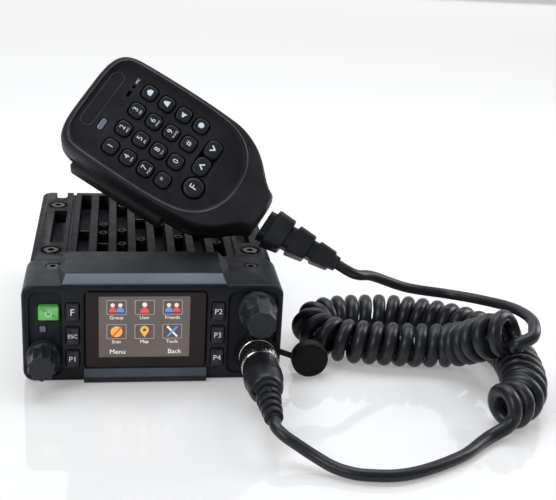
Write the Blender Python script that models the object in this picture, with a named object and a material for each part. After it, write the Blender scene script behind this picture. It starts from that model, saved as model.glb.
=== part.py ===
"""Mobile transceiver with a keypad speaker microphone on a coiled cord.

Frame: +X right, +Y to the rear, +Z up. The front face looks along -Y, and the
origin is on the underside of the bottom cover. Dimensions are in millimetres
and turn into metres when a mesh is made.
"""
import bpy
import bmesh
from math import cos, sin, pi, radians
from mathutils import Matrix, Vector

MM = 0.001
GAP = 0.3                     # clearance between touching pieces

# radio
HALF_WIDTH = 58.0             # front housing
FACE_Y = -60.0                # plane of the front face
HOUSING_BACK_Y = -28.0
HOUSING_BOTTOM = 0.4
HOUSING_TOP = 47.0            # top of the two wings
BLOCK_TOP = 51.2              # top of the raised centre block
FACE_WALL = 3.0
SINK_HALF_WIDTH = 56.5
SINK_FRONT_Y = HOUSING_BACK_Y + GAP
SINK_BACK_Y = 75.0
SINK_TOP = 46.0
COVER_TOP = 2.3

# front face pieces: centres as (x, z)
WINDOW = (-3.6, 25.5)
WINDOW_SIZE = (53.8, 37.0)
LCD = (-4.3, 27.1)
LCD_SIZE = (41.0, 30.0)
KEY_SIZE = (5.8, 8.4)
LEFT_KEY_X, RIGHT_KEY_X = -36.0, 28.6
KEY_ROWS = (34.7, 23.1, 11.8)
POWER_BUTTON = (-46.3, 34.3)
POWER_SIZE = (9.1, 6.8)
STATUS_LED = (-49.0, 26.0)
VOLUME_KNOB = (-48.8, 14.3)
CHANNEL_KNOB = (45.8, 36.8)
SOCKET = (47.2, 12.5)
KEY_PROUD = 1.2

# screws: centres as (x, y)
WING_SCREW = (45.5, -36.0)
FLANGE_SCREWS = ((47.6, -13.0), (47.6, 53.5))

# microphone: pose of its own frame, x from head to cord, y across, z out of the keypad
MIC_ORIGIN = (1.5, -8.0, 101.0)
MIC_TILT = radians(36.0)      # rise of the keypad's normal
MIC_TURN = radians(34.0)      # turn of the long axis in the keypad's plane
MIC_PARTING = -11.0
MIC_BACK = -29.0
MIC_RIM = 1.3
KEY_PITCH = (9.65, 10.9)
MIC_KEY = 7.0
MIC_WELL = 8.2
PTT_PIVOT = (22.0, -29.0, -18.5)
RELIEF_START = (64.3, -4.0)
RELIEF_END = (104.0, -0.5)
CORD_PLANE = -13.0            # depth of the cord's axis behind the keypad

# cord
CORD_RADIUS = 2.5
CURL_RADIUS = 10.7
PLUG_END_Y = -120.0
CURL_ROUTE = (
    (161.0, -80.5, 33.0), (156.0, -77.5, 30.5), (151.0, -70.5, 25.0), (147.0, -60.5, 17.8),
    (141.0, -52.5, 12.6), (130.0, -49.0, 10.9), (118.0, -47.6, 10.8), (104.0, -45.2, 10.8),
    (93.0, -42.8, 10.8), (84.5, -38.2, 10.8), (79.4, -30.2, 10.8), (80.0, -22.4, 10.8),
    (85.6, -17.0, 10.8), (95.0, -14.2, 10.8), (107.0, -13.2, 10.8), (121.0, -13.6, 10.8),
    (138.0, -18.6, 10.8), (151.5, -26.0, 10.8), (161.5, -35.5, 10.8), (167.0, -46.5, 10.8),
    (169.2, -58.0, 10.8), (168.4, -73.0, 10.8), (165.5, -87.2, 10.8), (161.5, -97.5, 10.8),
    (155.4, -106.0, 10.8), (147.0, -111.0, 10.8))
UPPER_ROUTE = (
    (106.0, -28.5, 38.5), (124.5, -25.0, 31.0), (143.5, -25.5, 28.0), (154.0, -33.0, 29.0),
    (161.8, -41.8, 30.5), (167.4, -51.0, 32.2), (170.6, -61.5, 33.8), (172.6, -71.5, 35.4),
    (171.5, -79.5, 36.2), (167.0, -83.6, 35.9), (161.8, -81.0, 33.4))
LOWER_ROUTE = (
    (47.2, -120.8, 12.5), (47.3, -125.2, 12.2), (50.4, -129.4, 10.6), (55.2, -132.2, 8.2),
    (61.0, -135.9, 5.6), (68.3, -141.4, 3.4), (76.2, -145.6, 2.7), (84.2, -147.4, 2.7),
    (92.5, -147.8, 2.7), (101.4, -145.9, 2.7), (111.1, -141.8, 2.7), (121.4, -136.1, 2.7),
    (127.5, -131.7, 2.7), (133.7, -125.9, 2.7), (139.1, -121.4, 2.9), (143.9, -119.2, 4.2),
    (147.6, -118.6, 6.2))


# ------------------------------------------------------------------ helpers

def clear_scene():
    for item in list(bpy.data.objects):
        bpy.data.objects.remove(item, do_unlink=True)


def material(name, colour, roughness, metallic=0.0):
    made = bpy.data.materials.new(name)
    made.use_nodes = True
    shader = made.node_tree.nodes["Principled BSDF"]
    shader.inputs["Base Color"].default_value = (*colour, 1.0)
    shader.inputs["Roughness"].default_value = roughness
    shader.inputs["Metallic"].default_value = metallic
    return made


def place(obj, mat, parent=None):
    obj.data.materials.append(mat)
    if parent is not None:
        obj.parent = parent
    return obj


def from_bmesh(name, bm, mat, parent=None, origin=(0, 0, 0)):
    """Make an object whose origin is at ORIGIN (millimetres, parent's frame)."""
    bmesh.ops.translate(bm, verts=bm.verts, vec=-Vector(origin))
    bmesh.ops.scale(bm, verts=bm.verts, vec=(MM, MM, MM))
    bmesh.ops.recalc_face_normals(bm, faces=bm.faces)
    mesh = bpy.data.meshes.new(name)
    bm.to_mesh(mesh)
    bm.free()
    obj = bpy.data.objects.new(name, mesh)
    bpy.context.collection.objects.link(obj)
    obj.location = Vector(origin) * MM
    return place(obj, mat, parent)


def smooth(obj, angle=35.0):
    obj.data.shade_smooth()
    obj.data.set_sharp_from_angle(angle=radians(angle))
    return obj


def boolean(obj, other, operation="DIFFERENCE"):
    other.hide_render = True
    other.display_type = "WIRE"
    tool = obj.modifiers.new(operation.lower(), "BOOLEAN")
    tool.operation = operation
    tool.object = other
    return obj


def rounded(width, height, radius, steps=3, centre=(0.0, 0.0)):
    """Outline of a rectangle with round corners, anticlockwise."""
    points = []
    for quarter, (sx, sy) in enumerate(((1, 1), (-1, 1), (-1, -1), (1, -1))):
        for step in range(steps + 1):
            angle = (quarter + step / steps) * pi / 2
            x = centre[0] + sx * (width / 2 - radius) + radius * cos(angle)
            y = centre[1] + sy * (height / 2 - radius) + radius * sin(angle)
            points.append((x, y))
    return points


def circle(radius, count, centre=(0.0, 0.0)):
    return [(centre[0] + radius * cos(2 * pi * i / count),
             centre[1] + radius * sin(2 * pi * i / count)) for i in range(count)]


def on_face(point, depth):
    """A front-face outline point (x, z) at depth y."""
    return Vector((point[0], depth, point[1]))


def on_floor(point, depth):
    """A plan outline point (x, y) at height z."""
    return Vector((point[0], point[1], depth))


def add_loft(bm, rings):
    """Skin a row of rings with the same number of points, and cap both ends."""
    rows = [[bm.verts.new(point) for point in ring] for ring in rings]
    count = len(rows[0])
    for low, high in zip(rows, rows[1:]):
        for i in range(count):
            j = (i + 1) % count
            bm.faces.new((low[i], low[j], high[j], high[i]))
    bm.faces.new(rows[0][::-1])
    bm.faces.new(rows[-1])


def prism(name, outline, start, end, mat, frame=on_face, parent=None, origin=(0, 0, 0)):
    bm = bmesh.new()
    add_loft(bm, [[frame(p, start) for p in outline], [frame(p, end) for p in outline]])
    return from_bmesh(name, bm, mat, parent, origin)


def layered(name, layers, mat, frame=on_face, parent=None, origin=(0, 0, 0)):
    """A solid through several (outline, depth) layers."""
    bm = bmesh.new()
    add_loft(bm, [[frame(p, depth) for p in outline] for outline, depth in layers])
    return from_bmesh(name, bm, mat, parent, origin)


def turned(name, profile, centre, mat, frame=on_face, count=32, parent=None, origin=None):
    """A solid of revolution: PROFILE holds (radius, depth) pairs, never zero radius."""
    layers = [(circle(radius, count, centre), depth) for radius, depth in profile]
    if origin is None:
        origin = frame(centre, 0.0)
    return smooth(layered(name, layers, mat, frame, parent, origin))


def block(name, low, high, mat, parent=None):
    outline = [(low[0], low[1]), (high[0], low[1]), (high[0], high[1]), (low[0], high[1])]
    return prism(name, outline, low[2], high[2], mat, on_floor, parent)


def merged_prisms(name, items, mat, frame, parent=None):
    """Separate prisms in one cutter mesh: ITEMS holds (outline, start, end)."""
    bm = bmesh.new()
    for outline, start, end in items:
        add_loft(bm, [[frame(p, start) for p in outline], [frame(p, end) for p in outline]])
    return from_bmesh(name, bm, mat, parent)


def smooth_route(points, spacing):
    """Points at even spacing along a Catmull-Rom curve through POINTS."""
    pts = [Vector(p) for p in points]
    pts = [2 * pts[0] - pts[1]] + pts + [2 * pts[-1] - pts[-2]]
    fine = []
    for a, b, c, d in zip(pts, pts[1:], pts[2:], pts[3:]):
        for k in range(16):
            t = k / 16
            fine.append(0.5 * (2 * b + (c - a) * t + (2 * a - 5 * b + 4 * c - d) * t * t
                               + (3 * b - a - 3 * c + d) * t ** 3))
    fine.append(pts[-2])
    lengths = [0.0]
    for a, b in zip(fine, fine[1:]):
        lengths.append(lengths[-1] + (b - a).length)
    count = max(2, round(lengths[-1] / spacing))
    result, k = [], 0
    for i in range(count + 1):
        goal = lengths[-1] * i / count
        while k < len(fine) - 2 and lengths[k + 1] < goal:
            k += 1
        share = (goal - lengths[k]) / (lengths[k + 1] - lengths[k])
        result.append(fine[k].lerp(fine[k + 1], share))
    return result


def tube(name, points, radius, resolution, mat):
    """A round cord through POINTS, with its ends closed."""
    data = bpy.data.curves.new(name, "CURVE")
    data.dimensions = "3D"
    data.bevel_depth = radius * MM
    data.bevel_resolution = resolution
    data.use_fill_caps = True
    spline = data.splines.new("POLY")
    spline.points.add(len(points) - 1)
    for item, point in zip(spline.points, points):
        item.co = (*(point * MM), 1.0)
    obj = bpy.data.objects.new(name, data)
    bpy.context.collection.objects.link(obj)
    return place(obj, mat)


# ---------------------------------------------------------------- materials

def make_materials():
    return {
        "housing": material("housing_plastic", (0.018, 0.019, 0.022), 0.5),
        "casting": material("cast_black", (0.016, 0.017, 0.018), 0.62, 0.3),
        "knob": material("knob_plastic", (0.02, 0.021, 0.024), 0.42),
        "key": material("key_rubber", (0.012, 0.012, 0.013), 0.5),
        "green": material("power_green", (0.06, 0.52, 0.10), 0.4),
        "window": material("window_gloss", (0.02, 0.013, 0.012), 0.12),
        "lcd": material("lcd_panel", (0.12, 0.10, 0.09), 0.3),
        "nickel": material("nickel_plate", (0.72, 0.69, 0.62), 0.22, 1.0),
        "screw": material("black_steel", (0.03, 0.03, 0.032), 0.4, 0.8),
        "board": material("board_green", (0.02, 0.12, 0.05), 0.6),
        "brass": material("shaft_metal", (0.6, 0.58, 0.55), 0.35, 1.0),
        "rubber": material("cord_rubber", (0.014, 0.015, 0.017), 0.45),
        "mic": material("mic_plastic", (0.016, 0.016, 0.018), 0.55),
        "led": material("led_lens", (0.16, 0.18, 0.22), 0.25),
        "speaker": material("speaker_metal", (0.3, 0.3, 0.32), 0.4, 0.8),
    }


# -------------------------------------------------------------------- radio

def make_front_housing(mats):
    height = HOUSING_TOP - HOUSING_BOTTOM
    middle = (HOUSING_TOP + HOUSING_BOTTOM) / 2
    layers = []
    for y, inset, radius in ((FACE_Y, 1.2, 4.2), (FACE_Y + 1.0, 0.0, 5.0),
                             (HOUSING_BACK_Y, 0.0, 5.0)):
        outline = rounded(2 * (HALF_WIDTH - inset), height - 2 * inset, radius, 4, (0.0, middle))
        layers.append((outline, y))
    housing = layered("front_housing", layers, mats["housing"])

    # raised centre block with sloped shoulders, and the slanted chin under the window
    bm = bmesh.new()
    left, right, front_slope, rear_slope, sunk = -38.8, 30.2, 2.0, 4.4, 45.0
    section = ((FACE_Y + 0.4, sunk), (FACE_Y + 0.2, 48.0), (FACE_Y + 4.2, BLOCK_TOP),
               (HOUSING_BACK_Y - 0.1, BLOCK_TOP), (HOUSING_BACK_Y - 0.1, sunk))
    for side, sign in ((left, -1), (right, 1)):
        for y, z in section:
            slope = rear_slope if y > HOUSING_BACK_Y - 1.0 else front_slope
            spread = slope * (BLOCK_TOP - z) / (BLOCK_TOP - HOUSING_TOP)
            bm.verts.new((side + sign * spread, y, z))
    bmesh.ops.convex_hull(bm, input=bm.verts)
    boolean(housing, from_bmesh("block_shape", bm, mats["housing"]), "UNION")
    chin = [(FACE_Y + 1.0, 7.0), (FACE_Y - 0.8, 6.7), (FACE_Y - 2.6, 3.2), (FACE_Y - 2.4, 0.8),
            (FACE_Y - 1.8, 0.3), (FACE_Y + 1.0, 0.9)]
    bm = bmesh.new()
    add_loft(bm, [[(x, y, z) for y, z in chin] for x in (-31.5, 24.3)])
    boolean(housing, from_bmesh("chin_shape", bm, mats["housing"]), "UNION")

    # hollow from behind
    inner_bottom, inner_top = HOUSING_BOTTOM + 2.6, HOUSING_TOP - 3.0
    hollow = rounded(2 * HALF_WIDTH - 7.0, inner_top - inner_bottom, 3.0, 2,
                     (0.0, (inner_top + inner_bottom) / 2))
    cuts = [(hollow, FACE_Y + FACE_WALL, HOUSING_BACK_Y + 2.0)]
    boolean(housing, merged_prisms("hollow_cut", cuts, mats["housing"], on_face))

    # recesses of the two wings
    left_wing = rounded(14.6, 41.0, 4.0, 3, (-47.9, 23.8))
    right_wing = rounded(22.4, 41.0, 4.0, 3, (44.3, 23.8))
    cuts = [(left_wing, FACE_Y - 2.0, FACE_Y + 0.7), (right_wing, FACE_Y - 2.0, FACE_Y + 0.7)]
    boolean(housing, merged_prisms("wing_cut", cuts, mats["housing"], on_face))

    # window seat
    seat = rounded(WINDOW_SIZE[0] + 0.8, WINDOW_SIZE[1] + 0.8, 2.2, 3, WINDOW)
    boolean(housing, merged_prisms("window_cut", [(seat, FACE_Y - 3.0, FACE_Y + 1.6)],
                                   mats["housing"], on_face))

    # openings through the face
    cuts = [(rounded(LCD_SIZE[0], LCD_SIZE[1], 1.0, 2, LCD), FACE_Y - 4.0, FACE_Y + 5.0)]
    for x in (LEFT_KEY_X, RIGHT_KEY_X):
        for z in KEY_ROWS:
            hole = rounded(KEY_SIZE[0] + 0.7, KEY_SIZE[1] + 0.7, 1.2, 2, (x, z))
            cuts.append((hole, FACE_Y - 4.0, FACE_Y + 5.0))
    power = rounded(POWER_SIZE[0] + 0.7, POWER_SIZE[1] + 0.7, 1.2, 2, POWER_BUTTON)
    led = rounded(3.4, 3.4, 0.4, 1, STATUS_LED)
    cuts += [(power, FACE_Y - 4.0, FACE_Y + 5.0), (led, FACE_Y - 4.0, FACE_Y + 5.0)]
    for centre, radius in ((VOLUME_KNOB, 3.9), (CHANNEL_KNOB, 3.9), (SOCKET, 7.4)):
        cuts.append((circle(radius, 24, centre), FACE_Y - 4.0, FACE_Y + 5.0))
    boolean(housing, merged_prisms("opening_cut", cuts, mats["housing"], on_face))

    # screw seats on the wings
    cuts = []
    for side in (-1, 1):
        centre = (side * WING_SCREW[0], WING_SCREW[1])
        cuts.append((circle(3.6, 20, centre), 45.0, HOUSING_TOP + 2.0))
    boolean(housing, merged_prisms("seat_cut", cuts, mats["housing"], on_floor))
    cuts = [(circle(1.7, 12, (side * WING_SCREW[0], WING_SCREW[1])), 40.0, 46.0)
            for side in (-1, 1)]
    boolean(housing, merged_prisms("thread_cut", cuts, mats["housing"], on_floor))
    return housing


def make_heatsink(mats):
    length = SINK_BACK_Y - SINK_FRONT_Y
    plan = (0.0, (SINK_BACK_Y + SINK_FRONT_Y) / 2)
    layers = []
    for z, inset in ((COVER_TOP + GAP, 1.6), (12.0, 0.0), (44.6, 0.0), (SINK_TOP, 1.2)):
        outline = rounded(2 * (SINK_HALF_WIDTH - inset), length - 2 * inset * 0.5, 4.0, 3, plan)
        layers.append((outline, z))
    sink = layered("heatsink_chassis", layers, mats["casting"], on_floor)

    hollow = [(-50.5, SINK_FRONT_Y - 4.0), (50.5, SINK_FRONT_Y - 4.0), (50.5, SINK_BACK_Y - 4.0),
              (-50.5, SINK_BACK_Y - 4.0)]
    boolean(sink, merged_prisms("bay_cut", [(hollow, -4.0, 32.0)], mats["casting"], on_floor))

    # grooves between the ribs, flange slots and flange notches
    cuts = []
    pitch, groove = 9.4, 5.2
    for i in range(8):
        x = -32.9 + i * pitch
        cuts.append((rounded(groove, 90.0, 1.0, 1, (x, 24.5)), 38.5, SINK_TOP + 4.0))
    for side in (-1, 1):
        cuts.append((rounded(6.4, 47.0, 0.8, 1, (side * 45.6, 20.6)), 39.5, SINK_TOP + 4.0))
        cuts.append((rounded(5.6, 16.0, 2.4, 3, (side * 46.2, SINK_BACK_Y - 1.5)), 38.0,
                     SINK_TOP + 4.0))
    boolean(sink, merged_prisms("groove_cut", cuts, mats["casting"], on_floor))

    # counterbores and threads of the flange screws
    wide, narrow = [], []
    for side in (-1, 1):
        for x, y in FLANGE_SCREWS:
            wide.append((circle(5.0, 24, (side * x, y)), SINK_TOP - 1.8, SINK_TOP + 4.0))
            narrow.append((circle(2.1, 14, (side * x, y)), SINK_TOP - 9.0, SINK_TOP))
    boolean(sink, merged_prisms("counterbore_cut", wide, mats["casting"], on_floor))
    boolean(sink, merged_prisms("flange_thread_cut", narrow, mats["casting"], on_floor))
    return sink


def make_screw(name, centre, head_radius, head_low, head_high, shank_low, mats):
    shank = 1.35 if head_radius < 3.3 else 1.7
    profile = [(shank, shank_low), (shank, head_low), (head_radius, head_low),
               (head_radius, head_high - 0.5), (head_radius - 0.5, head_high),
               (head_radius * 0.45, head_high), (head_radius * 0.4, head_high - 1.0)]
    return turned(name, profile, centre, mats["screw"], on_floor, 12)


def make_screws(mats):
    for side, word in ((-1, "left"), (1, "right")):
        make_screw("housing_screw_" + word, (side * WING_SCREW[0], WING_SCREW[1]),
                   3.2, 45.3, 46.9, 41.0, mats)
        for (x, y), place_word in zip(FLANGE_SCREWS, ("front", "rear")):
            make_screw("flange_screw_%s_%s" % (place_word, word), (side * x, y), 3.6,
                       SINK_TOP - 1.5, SINK_TOP + 0.2, SINK_TOP - 8.5, mats)


def make_face_button(name, centre, size, mats, mat):
    radius = 1.0
    outline = rounded(size[0], size[1], radius, 2, centre)
    cap = rounded(size[0] - 1.2, size[1] - 1.2, radius * 0.7, 2, centre)
    layers = [(cap, FACE_Y - KEY_PROUD), (outline, FACE_Y - KEY_PROUD + 0.6),
              (outline, FACE_Y + 5.0)]
    origin = (centre[0], FACE_Y, centre[1])
    return layered(name, layers, mats[mat], on_face, None, origin)


def fluted(radius, depth, flutes, centre, count):
    """Outline of a knob with FLUTES shallow scallops."""
    points = []
    for i in range(count):
        angle = 2 * pi * i / count
        wave = max(0.0, cos(flutes * angle)) ** 2
        r = radius - depth * wave
        points.append((centre[0] + r * cos(angle), centre[1] + r * sin(angle)))
    return points


def make_knob(name, centre, layers_spec, flutes, mats):
    """LAYERS_SPEC holds (radius, flute depth, y) from front to back."""
    count = flutes * 4
    layers = [(fluted(radius, depth, flutes, centre, count), y)
              for radius, depth, y in layers_spec]
    origin = (centre[0], FACE_Y, centre[1])
    knob = smooth(layered(name, layers, mats["knob"], on_face, None, origin), 30.0)
    bore = merged_prisms(name + "_bore", [(circle(3.3, 16, centre), FACE_Y - 9.0, FACE_Y + 4.0)],
                         mats["knob"], on_face)
    return boolean(knob, bore)


def make_encoder(name, centre, mats):
    profile = [(3.0, FACE_Y - 8.6), (3.0, FACE_Y - 0.6), (3.5, FACE_Y - 0.6),
               (3.5, FACE_Y + FACE_WALL + GAP), (5.2, FACE_Y + FACE_WALL + GAP),
               (5.2, FACE_Y + 10.0)]
    return turned(name, profile, centre, mats["brass"], on_face, 14)


def make_socket_and_plug(mats):
    socket = [(6.6, -69.8), (7.0, -69.2), (7.0, -62.2), (8.8, -62.0), (8.8, FACE_Y - GAP),
              (7.1, FACE_Y - GAP), (7.1, -50.0)]
    turned("mic_socket", socket, SOCKET, mats["nickel"], on_face, 20)

    ring_front, ring_back = -73.2, -62.7
    outline = fluted(8.9, 0.25, 12, SOCKET, 36)
    face_ring = circle(8.4, 36, SOCKET)
    origin = (SOCKET[0], (ring_front + ring_back) / 2, SOCKET[1])
    ring = layered("plug_coupling_ring", [(face_ring, ring_front), (outline, ring_front + 0.8),
                   (outline, ring_back)], mats["nickel"], on_face, None, origin)
    bore = merged_prisms("ring_bore", [(circle(7.4, 36, SOCKET), ring_front - 2, ring_back + 2)],
                         mats["nickel"], on_face)
    smooth(boolean(ring, bore))

    body = [(7.0, -70.3), (7.0, -73.6), (8.1, -73.6), (8.3, -75.5), (8.3, -82.0), (8.7, -82.4),
            (8.7, -83.2), (8.3, -83.6), (8.3, -84.6), (8.7, -85.0), (8.7, -85.8), (8.2, -86.2),
            (7.8, -93.0), (6.9, -95.0)]
    # ribbed strain relief, moulded on the back of the plug
    ribs, first, pitch = 5, -95.3, -4.9
    for i in range(ribs):
        radius = 5.9 - 0.45 * i
        start = first + i * pitch
        body += [(radius, start), (radius - 0.1, start - 3.2), (radius - 1.3, start - 3.4),
                 (radius - 1.4, start + pitch + 0.05)]
    body[-1] = (body[-1][0], PLUG_END_Y)
    turned("plug_body", body[::-1], SOCKET, mats["rubber"], on_face, 20)


def make_dust_cap(mats):
    centre = (72.3, 8.8)
    profile = [(7.9, FACE_Y), (8.5, FACE_Y + 0.7), (8.5, FACE_Y + 6.0)]
    cap = turned("dust_cap", profile, centre, mats["rubber"], on_face, 28)
    ring = layered("strap_ring", [(circle(10.2, 30, SOCKET), -61.9),
                   (circle(10.2, 30, SOCKET), -60.9)], mats["rubber"], on_face)
    hole = merged_prisms("strap_ring_hole", [(circle(9.1, 30, SOCKET), -64.0, -59.0)],
                         mats["rubber"], on_face)
    boolean(ring, hole)
    ring.hide_render = True
    path = [(56.4, -61.4, 15.0), (59.5, -61.4, 13.8), (62.6, -60.2, 12.2), (65.0, -58.6, 10.6),
            (67.0, -57.6, 9.6)]
    bm = bmesh.new()
    half_width, half_depth = 1.5, 0.5
    add_loft(bm, [[(x, y - half_depth, z - half_width), (x, y - half_depth, z + half_width),
                   (x, y + half_depth, z + half_width), (x, y + half_depth, z - half_width)]
                  for x, y, z in path])
    strap = from_bmesh("strap_band", bm, mats["rubber"])
    boolean(cap, strap, "UNION")
    boolean(cap, ring, "UNION")
    return cap


def make_radio(mats):
    make_front_housing(mats)
    make_heatsink(mats)
    plan = (0.0, (SINK_BACK_Y + SINK_FRONT_Y) / 2)
    cover = rounded(2 * SINK_HALF_WIDTH - 4.0, SINK_BACK_Y - SINK_FRONT_Y - 2.0, 4.0, 3, plan)
    prism("bottom_cover", cover, 0.0, COVER_TOP, mats["casting"], on_floor)
    make_screws(mats)

    window = rounded(WINDOW_SIZE[0], WINDOW_SIZE[1], 2.0, 3, WINDOW)
    prism("display_window", window, FACE_Y - 0.1, FACE_Y + 1.3, mats["window"])
    panel = rounded(LCD_SIZE[0] + 4.0, LCD_SIZE[1] + 3.0, 0.8, 1, LCD)
    prism("lcd_module", panel, FACE_Y + FACE_WALL + GAP, FACE_Y + 8.0, mats["lcd"])
    led = rounded(2.8, 2.8, 0.3, 1, STATUS_LED)
    prism("status_led", led, FACE_Y + 0.4, FACE_Y + 5.0, mats["led"])
    block("main_board", (-48.0, -44.0, 20.0), (48.0, 66.0, 21.6), mats["board"])
    turned("loudspeaker", [(18.0, 3.0), (18.0, 5.0), (10.0, 8.5), (10.0, 12.0)], (0.0, 30.0),
           mats["speaker"], on_floor, 28)

    names = (("key_f", "key_esc", "key_p1"), ("key_p2", "key_p3", "key_p4"))
    for column, x in zip(names, (LEFT_KEY_X, RIGHT_KEY_X)):
        for name, z in zip(column, KEY_ROWS):
            make_face_button(name, (x, z), KEY_SIZE, mats, "key")
    make_face_button("power_button", POWER_BUTTON, POWER_SIZE, mats, "green")

    make_knob("volume_knob", VOLUME_KNOB,
              ((5.9, 0.5, FACE_Y - 15.5), (6.4, 0.7, FACE_Y - 15.0), (6.7, 0.8, FACE_Y - 5.4),
               (7.1, 0.0, FACE_Y - 5.2), (7.3, 0.0, FACE_Y - 1.0)), 10, mats)
    make_knob("channel_knob", CHANNEL_KNOB,
              ((5.9, 0.2, FACE_Y - 21.0), (6.6, 0.4, FACE_Y - 20.2), (7.2, 0.7, FACE_Y - 13.4),
               (7.9, 0.9, FACE_Y - 12.9), (8.3, 0.8, FACE_Y - 7.2), (8.7, 0.0, FACE_Y - 7.0),
               (8.6, 0.0, FACE_Y - 3.0), (7.8, 0.0, FACE_Y - 1.0)), 10, mats)
    make_encoder("volume_encoder", VOLUME_KNOB, mats)
    make_encoder("channel_encoder", CHANNEL_KNOB, mats)
    make_socket_and_plug(mats)
    make_dust_cap(mats)

    rear = SINK_BACK_Y + GAP
    antenna = [(9.0, rear), (9.0, rear + 2.5), (7.6, rear + 2.5), (7.6, rear + 12.0),
               (7.0, rear + 12.6), (4.6, rear + 12.6), (4.4, rear + 7.0)]
    turned("antenna_socket", antenna, (-28.0, 22.0), mats["nickel"], on_face, 20)
    gland = [(6.5, rear), (6.5, rear + 2.0), (5.2, rear + 2.2), (4.6, rear + 9.0),
             (2.8, rear + 9.2), (2.6, rear + 5.0)]
    turned("dc_lead_gland", gland, (30.0, 20.0), mats["rubber"], on_face, 24)


# --------------------------------------------------------------- microphone

def mic_outline(inset=0.0):
    """Half outline of the microphone's body, mirrored about its long axis."""
    half = ((-40.0, 14.0), (-39.0, 20.5), (-36.6, 25.0), (-32.5, 27.6), (-26.0, 28.6),
            (-8.0, 29.2), (12.0, 29.2), (30.0, 28.2), (40.0, 25.6), (47.0, 21.4), (53.0, 15.6),
            (57.5, 11.6), (62.0, 9.8))
    shrink = []
    for x, y in half:
        inner_x = x + inset if x < 0 else x - inset * (x / 62.0)
        shrink.append((inner_x, y - inset))
    return shrink + [(x, -y) for x, y in reversed(shrink)]


def shift_y(outline, amount):
    """Lean the narrow end of the body towards the cord's side."""
    return [(x, y + amount * max(0.0, (x - 30.0) / 32.0)) for x, y in outline]


def body_outline(inset=0.0):
    return shift_y(mic_outline(inset), RELIEF_START[1] + 1.5)


def rim_outline(inset=0.0):
    """Outline of the sunk keypad field."""
    half = ((-36.4, 12.0), (-35.4, 18.5), (-32.6, 23.0), (-27.0, 25.2), (-8.0, 25.9),
            (14.0, 25.8), (28.0, 24.0), (36.5, 19.6), (42.0, 12.6), (44.4, 4.6))
    half = [(x + inset if x < 0 else x - inset * x / 44.4, y - inset) for x, y in half]
    return half + [(x, -y) for x, y in reversed(half)]


def mic_key_places():
    """Name and centre of each key of the 4 by 4 pad, column by column."""
    names = (("key_1", "key_2", "key_3", "key_a"), ("key_4", "key_5", "key_6", "key_b"),
             ("key_7", "key_8", "key_9", "key_c"), ("key_star", "key_0", "key_hash", "key_d"))
    places = []
    for i, column in enumerate(names):
        for j, name in enumerate(column):
            places.append((name, ((i - 1.5) * KEY_PITCH[0], (j - 1.5) * KEY_PITCH[1])))
    return places


ARROW_KEYS = (("key_up", (25.6, -0.6)), ("key_down", (25.6, 9.6)))
ROUND_KEY = (28.2, -11.4)
MIC_LED = (-24.0, -9.3)


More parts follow.
